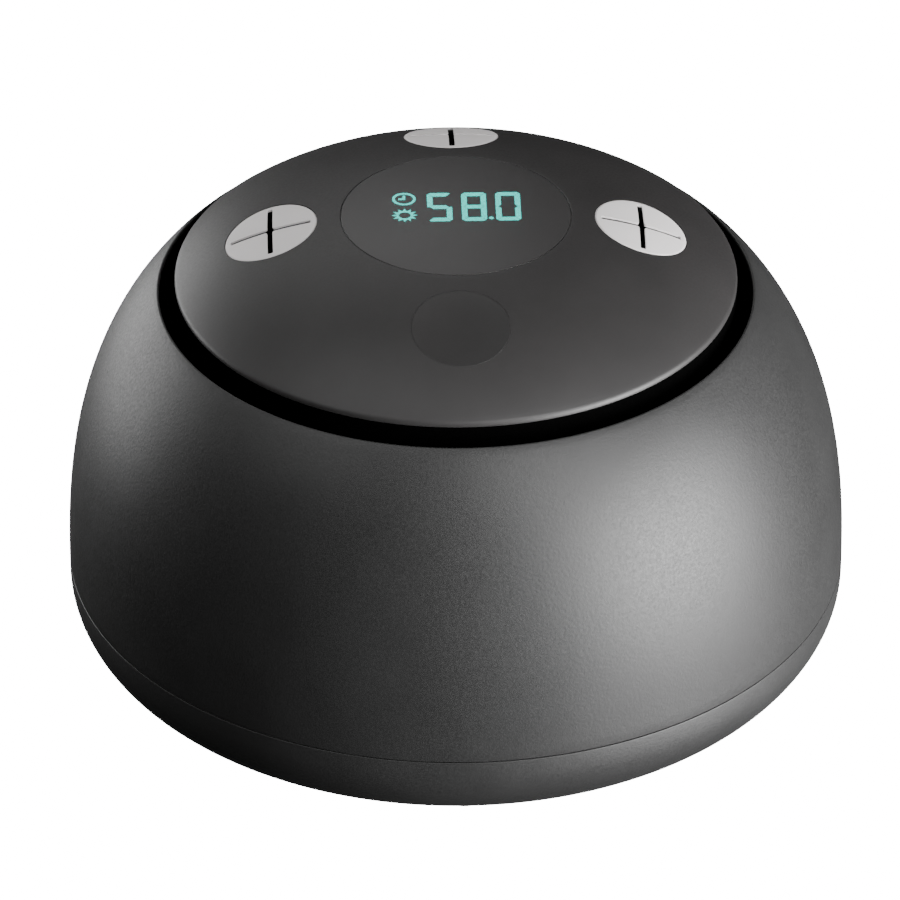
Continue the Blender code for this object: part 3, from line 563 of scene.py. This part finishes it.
finishes = {
    "casing": satinPlastic("satinCasing", plasticLook["casing"]),
    "cap": satinPlastic("satinCap", plasticLook["cap"]),
    # The key's material is the cap's finish darkened as painted shade.
    "key": satinPlastic("satinKeyShaded", plasticLook["key"]),
    "silicone": siliconeSkin("portSilicone"),
    "black_rubber": blackRubber("blackRubber"),
    # The groove's near-black coat is painted shade.
    "lining": grooveShadeCoat("paintedGrooveShade"),
    "window": smokedWindow("smokedWindow"),
    "display": litSegment("litSegments"),
    "guide": mouldedPlastic("guidePlastic", (0.002, 0.002, 0.002), (0.006, 0.006, 0.006), 0.62),
    "aluminium": turnedMetal("turnedAluminium"),
    "steel": metalFinish("pressedSteel", (0.42, 0.42, 0.43), (0.60, 0.60, 0.61), 0.34, brushed=(1, 14, 1)),
    "screw": metalFinish("platedScrew", (0.34, 0.34, 0.35), (0.52, 0.52, 0.53), 0.30, 2200),
    "film": heaterFilm("heaterFilm"),
    "foam": feltFoam("feltFoam"),
    "board": circuitBoard("circuitBoard"),
    "component": mouldedPlastic("componentBlack", (0.010, 0.010, 0.011), (0.024, 0.024, 0.025), 0.46),
    "connector": mouldedPlastic("connectorPlastic", (0.66, 0.63, 0.55), (0.80, 0.78, 0.71), 0.42),
    "red_lead": mouldedPlastic("redLead", (0.36, 0.012, 0.012), (0.52, 0.025, 0.02), 0.4),
    "black_lead": mouldedPlastic("blackLead", (0.008, 0.008, 0.008), (0.02, 0.02, 0.02), 0.42),
}
print("materials made:", len(finishes))

for part in frame["record"]["subparts"]:
    carried = frame["nodes"][part["node"]]
    carried.data.materials.clear()
    carried.data.materials.append(finishes[part["material_slot"]])

view = {
    "distance": 18,          # in body radii, from the middle of the widest circle
    "elevation": 33.68,
    "turn": 1.54,            # degrees off the front, in the level plane
    "focal": 277.3,
    "aimUp": 0.2657,         # where the lens points, from that middle, in body radii
    "aimAcross": -0.0151,
}


def placeCamera():
    elevation, turn = math.radians(view["elevation"]), math.radians(view["turn"])
    middle = Vector((0, 0, form["widest"]))
    back = Vector((-math.cos(elevation) * math.sin(turn), -math.cos(elevation) * math.cos(turn),
                   math.sin(elevation)))
    across = Vector((0, 0, 1)).cross(back).normalized()
    up = back.cross(across)
    radius = form["radius"]
    target = middle + up * view["aimUp"] * radius + across * view["aimAcross"] * radius
    bpy.ops.object.camera_add(location=middle + back * view["distance"] * radius)
    camera = bpy.context.object
    camera.name = "camera"
    look = (target - camera.location).normalized()
    camera.rotation_euler = look.to_track_quat("-Z", "Y").to_euler()
    camera.data.lens = view["focal"]
    camera.data.sensor_width = 36
    camera.data.clip_start = 0.05
    bpy.context.scene.camera = camera


stage = {
    "floor": 3.0,
    "floorTone": (0.86, 0.86, 0.855),
    "floorGlow": 17.0,
    "ambient": 0.02,
    "aimHeight": 45 * mm,
    "lights": {
        # azimuth from the front towards +X, elevation, distance, width, height, watts
        "keyCore": (60, 0, 0.6, 0.25, 0.25, 5.7),
        "keyPanel": (60, 0, 0.6, 0.55, 0.50, 12.5),
        "frontFill": (32, 40, 0.7, 0.40, 0.35, 2.6),
        "leftFill": (-60, 42, 0.7, 0.40, 0.30, 0.6),
        "topPanel": (-70, 68, 0.8, 0.50, 0.50, 1.4),
        "rimPanel": (-130, 5, 0.6, 0.50, 0.35, 2.7),
        "rearFill": (-165, 40, 0.7, 0.40, 0.30, 0.6),
    },
}


def makeStage():
    deselect()
    bpy.ops.mesh.primitive_plane_add(size=stage["floor"], location=(0, 0, 0))
    floor = bpy.context.object
    floor.name = "floor"
    material, shader, place = newMaterial("palePaper", {
        "Roughness": 0.9, "Emission Strength": stage["floorGlow"], "Emission Color": (1, 1, 1, 1)})
    tone = stage["floorTone"]
    feed(shader, {"Base Color": mixColour(noise(place, 300, 3.0), tone, tuple(c * 0.98 for c in tone))})
    floor.data.materials.append(material)
    floor.visible_glossy = False
    floor.visible_diffuse = False
    floor.visible_shadow = False    # a light table: the panels also reach below its edge
    world = bpy.data.worlds.new("studio")
    world.use_nodes = True
    bpy.context.scene.world = world
    background = world.node_tree.nodes["Background"]
    background.inputs["Color"].default_value = (1, 1, 1, 1)
    background.inputs["Strength"].default_value = stage["ambient"]
    middle = Vector((0, 0, stage["aimHeight"]))
    for name, (azimuth, elevation, distance, width, height, watts) in stage["lights"].items():
        a, e = math.radians(azimuth), math.radians(elevation)
        toward = Vector((math.sin(a) * math.cos(e), -math.cos(a) * math.cos(e), math.sin(e)))
        bpy.ops.object.light_add(type="AREA", location=middle + toward * distance)
        light = bpy.context.object
        light.name = name
        light.rotation_euler = (-toward).to_track_quat("-Z", "Y").to_euler()
        light.data.shape = "RECTANGLE"
        light.data.size = width
        light.data.size_y = height
        light.data.energy = watts


placeCamera()
makeStage()
print("camera and stage set")

shellLook = {
    "opening": 45.1 * mm,
    "openingRound": 0.25 * mm,
    "ledgeTop": 58.2 * mm,
    "ledgeThickness": 1.6 * mm,
    "ledgeInner": 40 * mm,
    "seamRound": 0.12 * mm,
    "seamGap": 0.15 * mm,
    "lipInset": 2.7 * mm,
    "lipWidth": 1.4 * mm,
    "lipDrop": 2 * mm,
    "lipRise": 1.5 * mm,
    "wallStart": 4 * mm,
}


def makeUpperShell():
    look = shellLook
    seam = form["seam"]
    lipOuter = form["radius"] - look["lipInset"]
    ledgeBottom = look["ledgeTop"] - look["ledgeThickness"]
    wallTop = domeRadius(ledgeBottom)
    rim = domeRun(look["opening"], domeRadius(seam), 46)
    outline = [(*rim[0], look["openingRound"])] + rim[2:-1] + [(*rim[-1], look["seamRound"])]
    outline += [(lipOuter, seam), (lipOuter, seam - look["lipDrop"], 0.3 * mm)]
    outline += [(lipOuter - look["lipWidth"], seam - look["lipDrop"], 0.3 * mm),
                (lipOuter - look["lipWidth"], seam + look["lipRise"])]
    outline += domeRun(wallTop, domeRadius(seam + look["wallStart"]), 24, form["wall"])[::-1]
    outline += [(look["ledgeInner"], ledgeBottom), (look["ledgeInner"], look["ledgeTop"])]
    outline += [(look["opening"], look["ledgeTop"])]
    shell = turnPiece("upper_casing", softened(outline), 192, ring=True)
    smoothShade(shell)
    finishPiece(shell, "body", finishes["casing"], ["upper_shell"])


baseLook = {
    "screwCircle": 49 * mm,
    "footCircle": 38 * mm,
    "footAngles": (270, 30, 150),
    "pillar": (4.2 * mm, 3.6 * mm, 8.3 * mm),          # radius, bottom, top
    "screwHole": (1.6 * mm, 0, 9 * mm),
    "counterbore": (3 * mm, 0, 6.3 * mm),
    "footRecess": (5.3 * mm, 0, 3 * mm),
    "ventCircle": 20 * mm,
    "vents": 8,
    "ventTurn": 22.5,
    "ventSize": (11 * mm, 1.8 * mm, 8 * mm),
    "ventRound": 0.88 * mm,
    "inletHeight": 12 * mm,
    "inletRecess": 2.6 * mm,
    "recessRadius": 5.2 * mm,
    "inletHole": 4.3 * mm,
    "holeReach": (50 * mm, 70 * mm),
}


# The frame of the inlet: local +Z points out of the rear, at the inlet's height.
def rearward():
    return Matrix.Translation((0, 0, baseLook["inletHeight"])) @ Matrix.Rotation(math.radians(-90), 4, "X")


def makeLowerShell():
    look = baseLook
    seamTop = form["seam"] - shellLook["seamGap"]
    inside = form["radius"] - form["wall"]
    floorTop = form["underside"] + form["wall"]
    outline = [(0, floorTop)] + cornerRun(16, form["wall"])[::-1]
    outline += [(inside, seamTop), (form["radius"] - 0.004 * mm, seamTop, shellLook["seamRound"])]
    outline += cornerRun(26) + [(0, form["underside"])]
    shell = turnPiece("lower_casing", softened(outline), 192)
    cutters = []
    for angle in look["footAngles"]:
        pillar = move(rod("pillar", *look["pillar"]), Matrix.Translation((look["screwCircle"], 0, 0)))
        carve(shell, [around(pillar, angle)], "UNION")
        for measures, circle in (("screwHole", "screwCircle"), ("counterbore", "screwCircle"),
                                 ("footRecess", "footCircle")):
            hole = move(rod("hole", *look[measures]), Matrix.Translation((look[circle], 0, 0)))
            cutters.append(around(hole, angle))
    for index in range(look["vents"]):
        vent = block("vent", look["ventSize"], (look["ventCircle"], 0, form["underside"]),
                     look["ventRound"], 6, uprightOnly=True)
        cutters.append(around(vent, look["ventTurn"] + 360 / look["vents"] * index))
    seat = form["radius"] - look["inletRecess"]
    near, far = look["holeReach"]
    cutters.append(move(rod("recess", look["recessRadius"], seat, far, 64), rearward()))
    cutters.append(move(rod("hole", look["inletHole"], near, far, 64), rearward()))
    carve(shell, cutters)
    smoothShade(shell)
    finishPiece(shell, "body", finishes["casing"], ["lower_shell"])


footLook = {"taper": 0.5 * mm, "rimWidth": 1.0 * mm, "rimSlope": 0.4 * mm, "hollow": 0.25 * mm}


def makeFeet():
    look = footLook
    low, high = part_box("foot_1")
    top = (high.x - low.x) / 2
    outer = top - look["taper"]
    inner = outer - look["rimWidth"]
    hollow = low.z + look["hollow"]
    outline = [(0, high.z), (top, high.z, 0.3 * mm), (outer, low.z, 0.5 * mm), (inner, low.z, 0.15 * mm)]
    outline += [(inner - look["rimSlope"], hollow, 0.15 * mm), (0, hollow)]
    for index, angle in enumerate(baseLook["footAngles"], start=1):
        foot = turnPiece(f"rubber_foot_{index}", softened(outline), 64)
        move(foot, Matrix.Translation((baseLook["footCircle"], 0, 0)))
        smoothShade(around(foot, angle))
        finishPiece(foot, "body", finishes["black_rubber"], [f"foot_{index}"])


screwLook = {
    "shank": 1.15 * mm,
    "point": 0.8 * mm,
    "headHeight": 2 * mm,
    "crown": 0.7 * mm,
    "slot": (3.2 * mm, 0.75 * mm, 2.4 * mm),
    "turn": 17,
}


# Pan-head screws with a cross recess, looking down out of their counterbores.
def makeCaseScrews():
    look = screwLook
    low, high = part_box("case_screw_1")
    head, shank = (high.x - low.x) / 2, look["shank"]
    flat, crown = low.z + look["headHeight"], low.z + look["crown"]
    outline = [(0, high.z), (shank * 0.6, high.z), (shank, high.z - look["point"]), (shank, flat)]
    outline += [(head, flat, 0.2 * mm), (head, crown, 0.5 * mm), (head * 0.6, low.z, 0.6 * mm), (0, low.z)]
    for index, angle in enumerate(baseLook["footAngles"], start=1):
        screw = turnPiece(f"casing_screw_{index}", softened(outline), 40)
        slots = [block("slot", look["slot"], (0, 0, low.z), 0.2 * mm, 2, uprightOnly=True) for _ in range(2)]
        around(slots[1], 90)
        carve(screw, slots)
        around(screw, look["turn"] * index)
        move(screw, Matrix.Translation((baseLook["screwCircle"], 0, 0)))
        smoothShade(around(screw, angle))
        finishPiece(screw, "body", finishes["screw"], [f"case_screw_{index}"])


inletLook = {
    "socket": 3 * mm,
    "socketDepth": 9 * mm,
    "nose": 4.1 * mm,
    "noseLength": 4.2 * mm,
    "body": 4.6 * mm,
    "bodyLength": 12 * mm,
    "pin": 1 * mm,
    "pinInset": 0.9 * mm,
    "pinGap": 0.05 * mm,
}


def makeInlet():
    look = inletLook
    face = form["radius"] - baseLook["inletRecess"]
    socketEnd, shoulder, end = (face - look[key] for key in ("socketDepth", "noseLength", "bodyLength"))
    outline = [(0, socketEnd), (look["socket"], socketEnd), (look["socket"], face, 0.3 * mm)]
    outline += [(look["nose"], face, 0.25 * mm), (look["nose"], shoulder), (look["body"], shoulder, 0.2 * mm)]
    outline += [(look["body"], end, 0.3 * mm), (0, end)]
    housing = move(turnPiece("inlet_housing", softened(outline), 72), rearward())
    smoothShade(housing)
    finishPiece(housing, "body", finishes["component"], ["power_inlet"])
    tip, root = face - look["pinInset"], socketEnd + look["pinGap"]
    outline = [(0, tip), (look["pin"], tip, 0.5 * mm), (look["pin"], root), (0, root)]
    pin = move(turnPiece("inlet_pin", softened(outline), 40), rearward())
    smoothShade(pin)
    finishPiece(pin, "body", finishes["screw"])


makeUpperShell()
makeLowerShell()
makeFeet()
makeCaseScrews()
makeInlet()
print("shells, feet, screws and inlet made")

capLook = {
    "radius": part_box("top_cap")[1].x - 0.3 * mm,
    "rimRound": 1.0 * mm,
    "skirtBottom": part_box("top_cap")[0].z,
    "skirtInner": 40.8 * mm,
    "lip": 0.68 * mm,
    # Depth, gap and drop of the near-black sheets that paint the groove's shade.
    "shadeSheetDepth": 0.45 * mm,
    "shadeSheetGap": 0.03 * mm,
    "shadeSheetDrop": 0.75 * mm,
    "sealInner": 41.2 * mm,
    "window": 17.4 * mm,
    "windowGap": 0.06 * mm,
    "windowFloor": 74.2 * mm,
    "ledge": 1.2 * mm,
    "shoulder": 18.6 * mm,
    "hole": 7.4 * mm,
    "holeReach": 6 * mm,
    "spotFace": (8.9 * mm, -8 * mm, -2.6 * mm),        # radius, bottom, top
    "skirtWall": 2.7 * mm,
    "shoulderRise": 1 * mm,
    "keyRadius": 7.38 * mm,
    "portRadius": 7.35 * mm,
    "displayShift": 4.2 * mm,
    "segmentShift": 4.35 * mm,
    "aperture": (25 * mm, 13.6 * mm, 10 * mm),
}


def makeCap():
    look = capLook
    pocket = look["window"] + look["windowGap"]
    under = look["windowFloor"] - look["ledge"]
    rim = domeRun(pocket, look["radius"], 40)
    outline = [(0, look["windowFloor"]), (pocket, look["windowFloor"]), (*rim[0], 0.1 * mm)]
    outline += rim[1:-2] + [(*rim[-1], look["rimRound"])]
    # The rim's set-back wall, which carries a near-black sheet of painted shade.
    shadow = look["radius"] - look["shadeSheetDepth"]
    lip = domeHeight(look["radius"]) - look["lip"]
    outline += [(look["radius"], lip, 0.1 * mm), (shadow, lip), (shadow, look["skirtBottom"], 0.2 * mm)]
    outline += [(look["skirtInner"], look["skirtBottom"], 0.3 * mm)]
    outline += [(look["skirtInner"], domeHeight(look["skirtInner"]) - look["skirtWall"])]
    inside = domeRun(look["shoulder"] + look["shoulderRise"], look["skirtInner"], 14, form["wall"])
    outline += inside[::-1][1:]
    outline += [(look["shoulder"], under), (0, under)]
    cap = turnPiece("cap_cover", softened(outline), 192)
    cutters = [block("aperture", look["aperture"], (0, look["displayShift"], look["windowFloor"]))]
    for name in seats:
        hole = rod("hole", look["hole"], -look["holeReach"], look["holeReach"], 128)
        cutters.append(move(hole, seatMatrix(name)))
        cutters.append(move(rod("spotFace", *look["spotFace"], 64), seatMatrix(name)))
    carve(cap, cutters)
    smoothShade(cap)
    finishPiece(cap, "body", finishes["cap"], ["top_cap"])


# The seal on the groove's floor and thin sheets on its two walls, all in the near-black coat that paints the
# groove's shade.
def makeGroove():
    look = capLook
    low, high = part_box("cap_seal")
    inner = look["sealInner"]
    outline = [(inner, high.z), (high.x, high.z, 0.25 * mm), (high.x, low.z, 0.2 * mm), (inner, low.z)]
    seal = turnPiece("groove_seal", softened(outline), 160, ring=True)
    smoothShade(seal)
    finishPiece(seal, "body", finishes["lining"], ["cap_seal"])
    gap = look["shadeSheetGap"]
    capWall = (look["radius"] - look["shadeSheetDepth"] + gap, look["radius"] - gap,
               look["skirtBottom"] + gap, domeHeight(look["radius"]) - look["lip"] - gap)
    casingWall = (high.x + gap, shellLook["opening"] - gap, high.z + gap,
                  domeHeight(shellLook["opening"]) - look["shadeSheetDrop"])
    # Each sheet is painted shade: a thin near-black layer laid on a groove wall.
    for name, (near, far, bottom, top) in {"shade_sheet_cap": capWall, "shade_sheet_casing": casingWall}.items():
        outline = [(near, top), (far, top, 0.05 * mm), (far, bottom), (near, bottom)]
        lining = turnPiece(name, softened(outline), 160, ring=True)
        smoothShade(lining)
        finishPiece(lining, "body", finishes["lining"])


# How far under the dome the bend fades out, and where a port's or the key's flange begins.
seatLook = {"bendEnds": (-1.7 * mm, -2.9 * mm), "flangeTop": -2.9 * mm}

membraneLook = {
    "slitLength": 12.7 * mm,
    "slitWidth": 0.88 * mm,
    "slitRound": 0.176 * mm,
    "eye": 1.1 * mm,
    "cut": 4 * mm,
    "edgeRound": 0.32 * mm,
    "skin": 0.32 * mm,
    "mouth": 6.4 * mm,
    # Wall and gap of the near-black sleeve that paints the shade behind the slits.
    "shadeSleeveWall": 0.15 * mm,
    "shadeSleeveGap": 0.02 * mm,
    "flange": 8.6 * mm,
    "flangeBottom": -4.1 * mm,
}


# A flanged silicone disc, crossed by two slits that meet in a small eye, and behind it a thin near-black
# sleeve that paints the shade seen through the slits.
def makeMembranes():
    look = membraneLook
    radius = capLook["portRadius"]
    rings = [(radius * index / 13, 0) for index in range(13)]
    ledge, bottom = seatLook["flangeTop"], look["flangeBottom"]
    outline = rings + [(radius, 0, look["edgeRound"]), (radius, ledge), (look["flange"], ledge, 0.2 * mm)]
    outline += [(look["flange"], bottom, 0.2 * mm), (look["mouth"], bottom)]
    outline += [(look["mouth"] * (1 - index / 8), -look["skin"]) for index in range(9)]
    outer = look["mouth"] - look["shadeSleeveGap"]
    inner = outer - look["shadeSleeveWall"]
    top = -look["skin"] - look["shadeSleeveGap"]
    sleeve = [(inner, top), (outer, top), (outer, bottom), (inner, bottom)]
    for name in ("left", "rear", "right"):
        disc = turnPiece(f"slit_membrane_{name}", softened(outline), 128)
        cutters = []
        for turn in (0, 90):
            slit = block("slit", (look["slitLength"], look["slitWidth"], 2 * look["cut"]), (0, 0, 0),
                         look["slitRound"], uprightOnly=True)
            cutters.append(around(slit, turn))
        cutters.append(rod("eye", look["eye"], -look["cut"], look["cut"], 4))
        carve(disc, cutters)
        editAll(disc)
        bpy.ops.mesh.quads_convert_to_tris()
        bpy.ops.object.mode_set(mode="OBJECT")
        settleOnDome(disc, name)
        smoothShade(disc, 40)
        finishPiece(disc, "body", finishes["silicone"], [f"port_membrane_{name}"])
        # Painted shade: a thin near-black sleeve inside the mouth, in the guide's finish.
        shadeSleeve = turnPiece(f"port_shade_sleeve_{name}", sleeve, 96, ring=True)
        settleOnDome(shadeSleeve, name)
        smoothShade(shadeSleeve)
        finishPiece(shadeSleeve, "body", finishes["guide"])


keyLook = {
    "dishRadius": 7.22 * mm,
    "dishDepth": 1.0 * mm,
    "lipRound": 0.12 * mm,
    "edgeRound": 0.03 * mm,
    "flange": 8.5 * mm,
    "flangeBottom": -3.7 * mm,
    "stem": 2 * mm,
    "stemEnd": -5.4 * mm,
}


def makeKey():
    look = keyLook
    radius = capLook["keyRadius"]
    ball = (look["dishRadius"] ** 2 + look["dishDepth"] ** 2) / (2 * look["dishDepth"])
    reach = math.asin(look["dishRadius"] / ball)
    steps = [reach * index / 16 for index in range(16)]
    dish = [(ball * math.sin(a), ball * (1 - math.cos(a)) - look["dishDepth"]) for a in steps]
    ledge, bottom, end = seatLook["flangeTop"], look["flangeBottom"], look["stemEnd"]
    outline = dish + [(look["dishRadius"], 0, look["lipRound"]), (radius, 0, look["edgeRound"])]
    outline += [(radius, ledge), (look["flange"], ledge, 0.2 * mm), (look["flange"], bottom, 0.2 * mm)]
    outline += [(look["stem"], bottom), (look["stem"], end, 0.3 * mm), (0, end)]
    key = turnPiece("dished_key", softened(outline), 128)
    settleOnDome(key, "key")
    smoothShade(key, 40)
    finishPiece(key, "key", finishes["key"], ["key_button"])


makeCap()
makeGroove()
makeMembranes()
makeKey()
print("cap, seal, membranes and key made")

displayLook = {
    "digitCentres": (-2.35 * mm, 2.86 * mm, 8.03 * mm),
    "digits": "580",
    "dotAt": (5.40 * mm, -3.38 * mm),
    "dotRadius": 0.36 * mm,
    "digitWidth": 3.78 * mm,
    "digitHeight": 8.3 * mm,
    "strokeAcross": 0.86 * mm,
    "strokeUp": 1.0 * mm,
    "mitreGap": 0.07 * mm,
    "cornerCut": 0.42 * mm,
    "clockAt": (-7.72 * mm, 2.5 * mm),
    "clockRadius": 1.8 * mm,
    "clockStroke": 0.42 * mm,
    "sunAt": (-7.70 * mm, -2.3 * mm),
    "sunRadius": 1.3 * mm,
    "sunHole": 0.90 * mm,
    "rays": 12,
    "rayReach": 1.95 * mm,
    "rayHalf": 0.19,           # half a ray's root, in radians
    "handHalf": 0.2 * mm,
    "hands": (0.72, 0.62),     # minute and hour hand, as shares of the dial
    "segmentHeight": 0.05 * mm,
    "segmentGap": 0.005 * mm,
    "housingRound": 0.35 * mm,
}

# Which of the seven bars each digit lights: top, two upper, middle, two lower, bottom.
litBars = {"5": "1101011", "8": "1111111", "0": "1110111"}


# The outlines of a digit's seven bars, mitred where they meet.
def digitBars(centre):
    look = displayLook
    w, h = look["digitWidth"] / 2, look["digitHeight"] / 2
    a, u, g, c = look["strokeAcross"], look["strokeUp"], look["mitreGap"], look["cornerCut"]
    half = c / 2
    top = [(-w + c + g, h), (w - c - g, h), (w - half - g, h - half), (w - a - g, h - u),
           (-w + a + g, h - u), (-w + half + g, h - half)]
    upperRight = [(w, h - c - g), (w - half, h - half - g), (w - a, h - u - g), (w - a, u / 2 + g),
                  (w - a / 2, g), (w, g)]
    middle = [(-w + a / 2 + g, 0), (-w + a + g, u / 2), (w - a - g, u / 2), (w - a / 2 - g, 0),
              (w - a - g, -u / 2), (-w + a + g, -u / 2)]
    upperLeft = [(-x, y) for x, y in upperRight]
    lowerRight = [(x, -y) for x, y in upperRight]
    lowerLeft = [(-x, -y) for x, y in upperRight]
    bottom = [(x, -y) for x, y in top]
    bars = [top, upperLeft, upperRight, middle, lowerLeft, lowerRight, bottom]
    return [[(x + centre, y) for x, y in bar] for bar in bars]


def circleLoop(centre, radius, count=40):
    return [(centre[0] + radius * math.cos(2 * math.pi * i / count),
             centre[1] + radius * math.sin(2 * math.pi * i / count)) for i in range(count)]


# Flat filled outlines with a little thickness, made into one mesh.
def flatPiece(name, loops, bottom, height):
    curve = bpy.data.curves.new(name, "CURVE")
    curve.dimensions = "2D"
    curve.fill_mode = "BOTH"
    curve.extrude = height / 2
    for loop in loops:
        spline = curve.splines.new("POLY")
        spline.points.add(len(loop) - 1)
        for point, (x, y) in zip(spline.points, loop):
            point.co = (x, y, 0, 1)
        spline.use_cyclic_u = True
    piece = bpy.data.objects.new(name, curve)
    bpy.context.scene.collection.objects.link(piece)
    choose(piece)
    bpy.ops.object.convert(target="MESH")
    editAll(piece)
    bpy.ops.mesh.remove_doubles(threshold=0.001 * mm)
    faceOutwards(piece)
    return move(piece, Matrix.Translation((0, capLook["segmentShift"], bottom + height / 2)))


def makeDisplay():
    look = displayLook
    low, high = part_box("display_module")
    housing = block("display_housing", high - low, (low + high) / 2, look["housingRound"])
    smoothShade(housing)
    finishPiece(housing, "body", finishes["component"], ["display_module"])
    lit, unlit = [], []
    for digit, centre in zip(look["digits"], look["digitCentres"]):
        for bar, on in zip(digitBars(centre), litBars[digit]):
            (lit if on == "1" else unlit).append(bar)
    lit.append(circleLoop(look["dotAt"], look["dotRadius"]))
    face = high.z + look["segmentGap"]
    for name, loops, slot in (("lit_digits", lit, "display"), ("unlit_bars", unlit, "component"),
                              ("clock_icon", clockLoops(), "display"), ("sun_icon", sunLoops(), "display")):
        finishPiece(flatPiece(name, loops, face, look["segmentHeight"]), "body", finishes[slot])


def clockLoops():
    look = displayLook
    x, y = look["clockAt"]
    half = look["handHalf"]
    inner = look["clockRadius"] - look["clockStroke"]
    minute, hour = (inner * share for share in look["hands"])
    hands = [(x - half, y + minute), (x + half, y + minute), (x + half, y - half),
             (x - hour, y - half), (x - hour, y + half), (x - half, y + half)]
    return [circleLoop((x, y), look["clockRadius"]), circleLoop((x, y), inner), hands]


def sunLoops():
    look = displayLook
    x, y = look["sunAt"]
    loops = [circleLoop((x, y), look["sunRadius"]), circleLoop((x, y), look["sunHole"])]
    for index in range(look["rays"]):
        angle = 2 * math.pi * index / look["rays"]
        root, half = look["sunRadius"] * 1.04, look["rayHalf"]
        corners = ((root, half), (look["rayReach"], 0.0), (root, -half))
        loops.append([(x + r * math.cos(angle + d), y + r * math.sin(angle + d)) for r, d in corners])
    return loops


def makeWindow():
    low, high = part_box("display_window")
    outline = [(0, high.z), (capLook["window"], high.z, 0.12 * mm), (capLook["window"], low.z), (0, low.z)]
    lens = turnPiece("window_lens", softened(outline), 160)
    smoothShade(lens)
    finishPiece(lens, "body", finishes["window"], ["display_window"])


makeDisplay()
makeWindow()
print("display made")
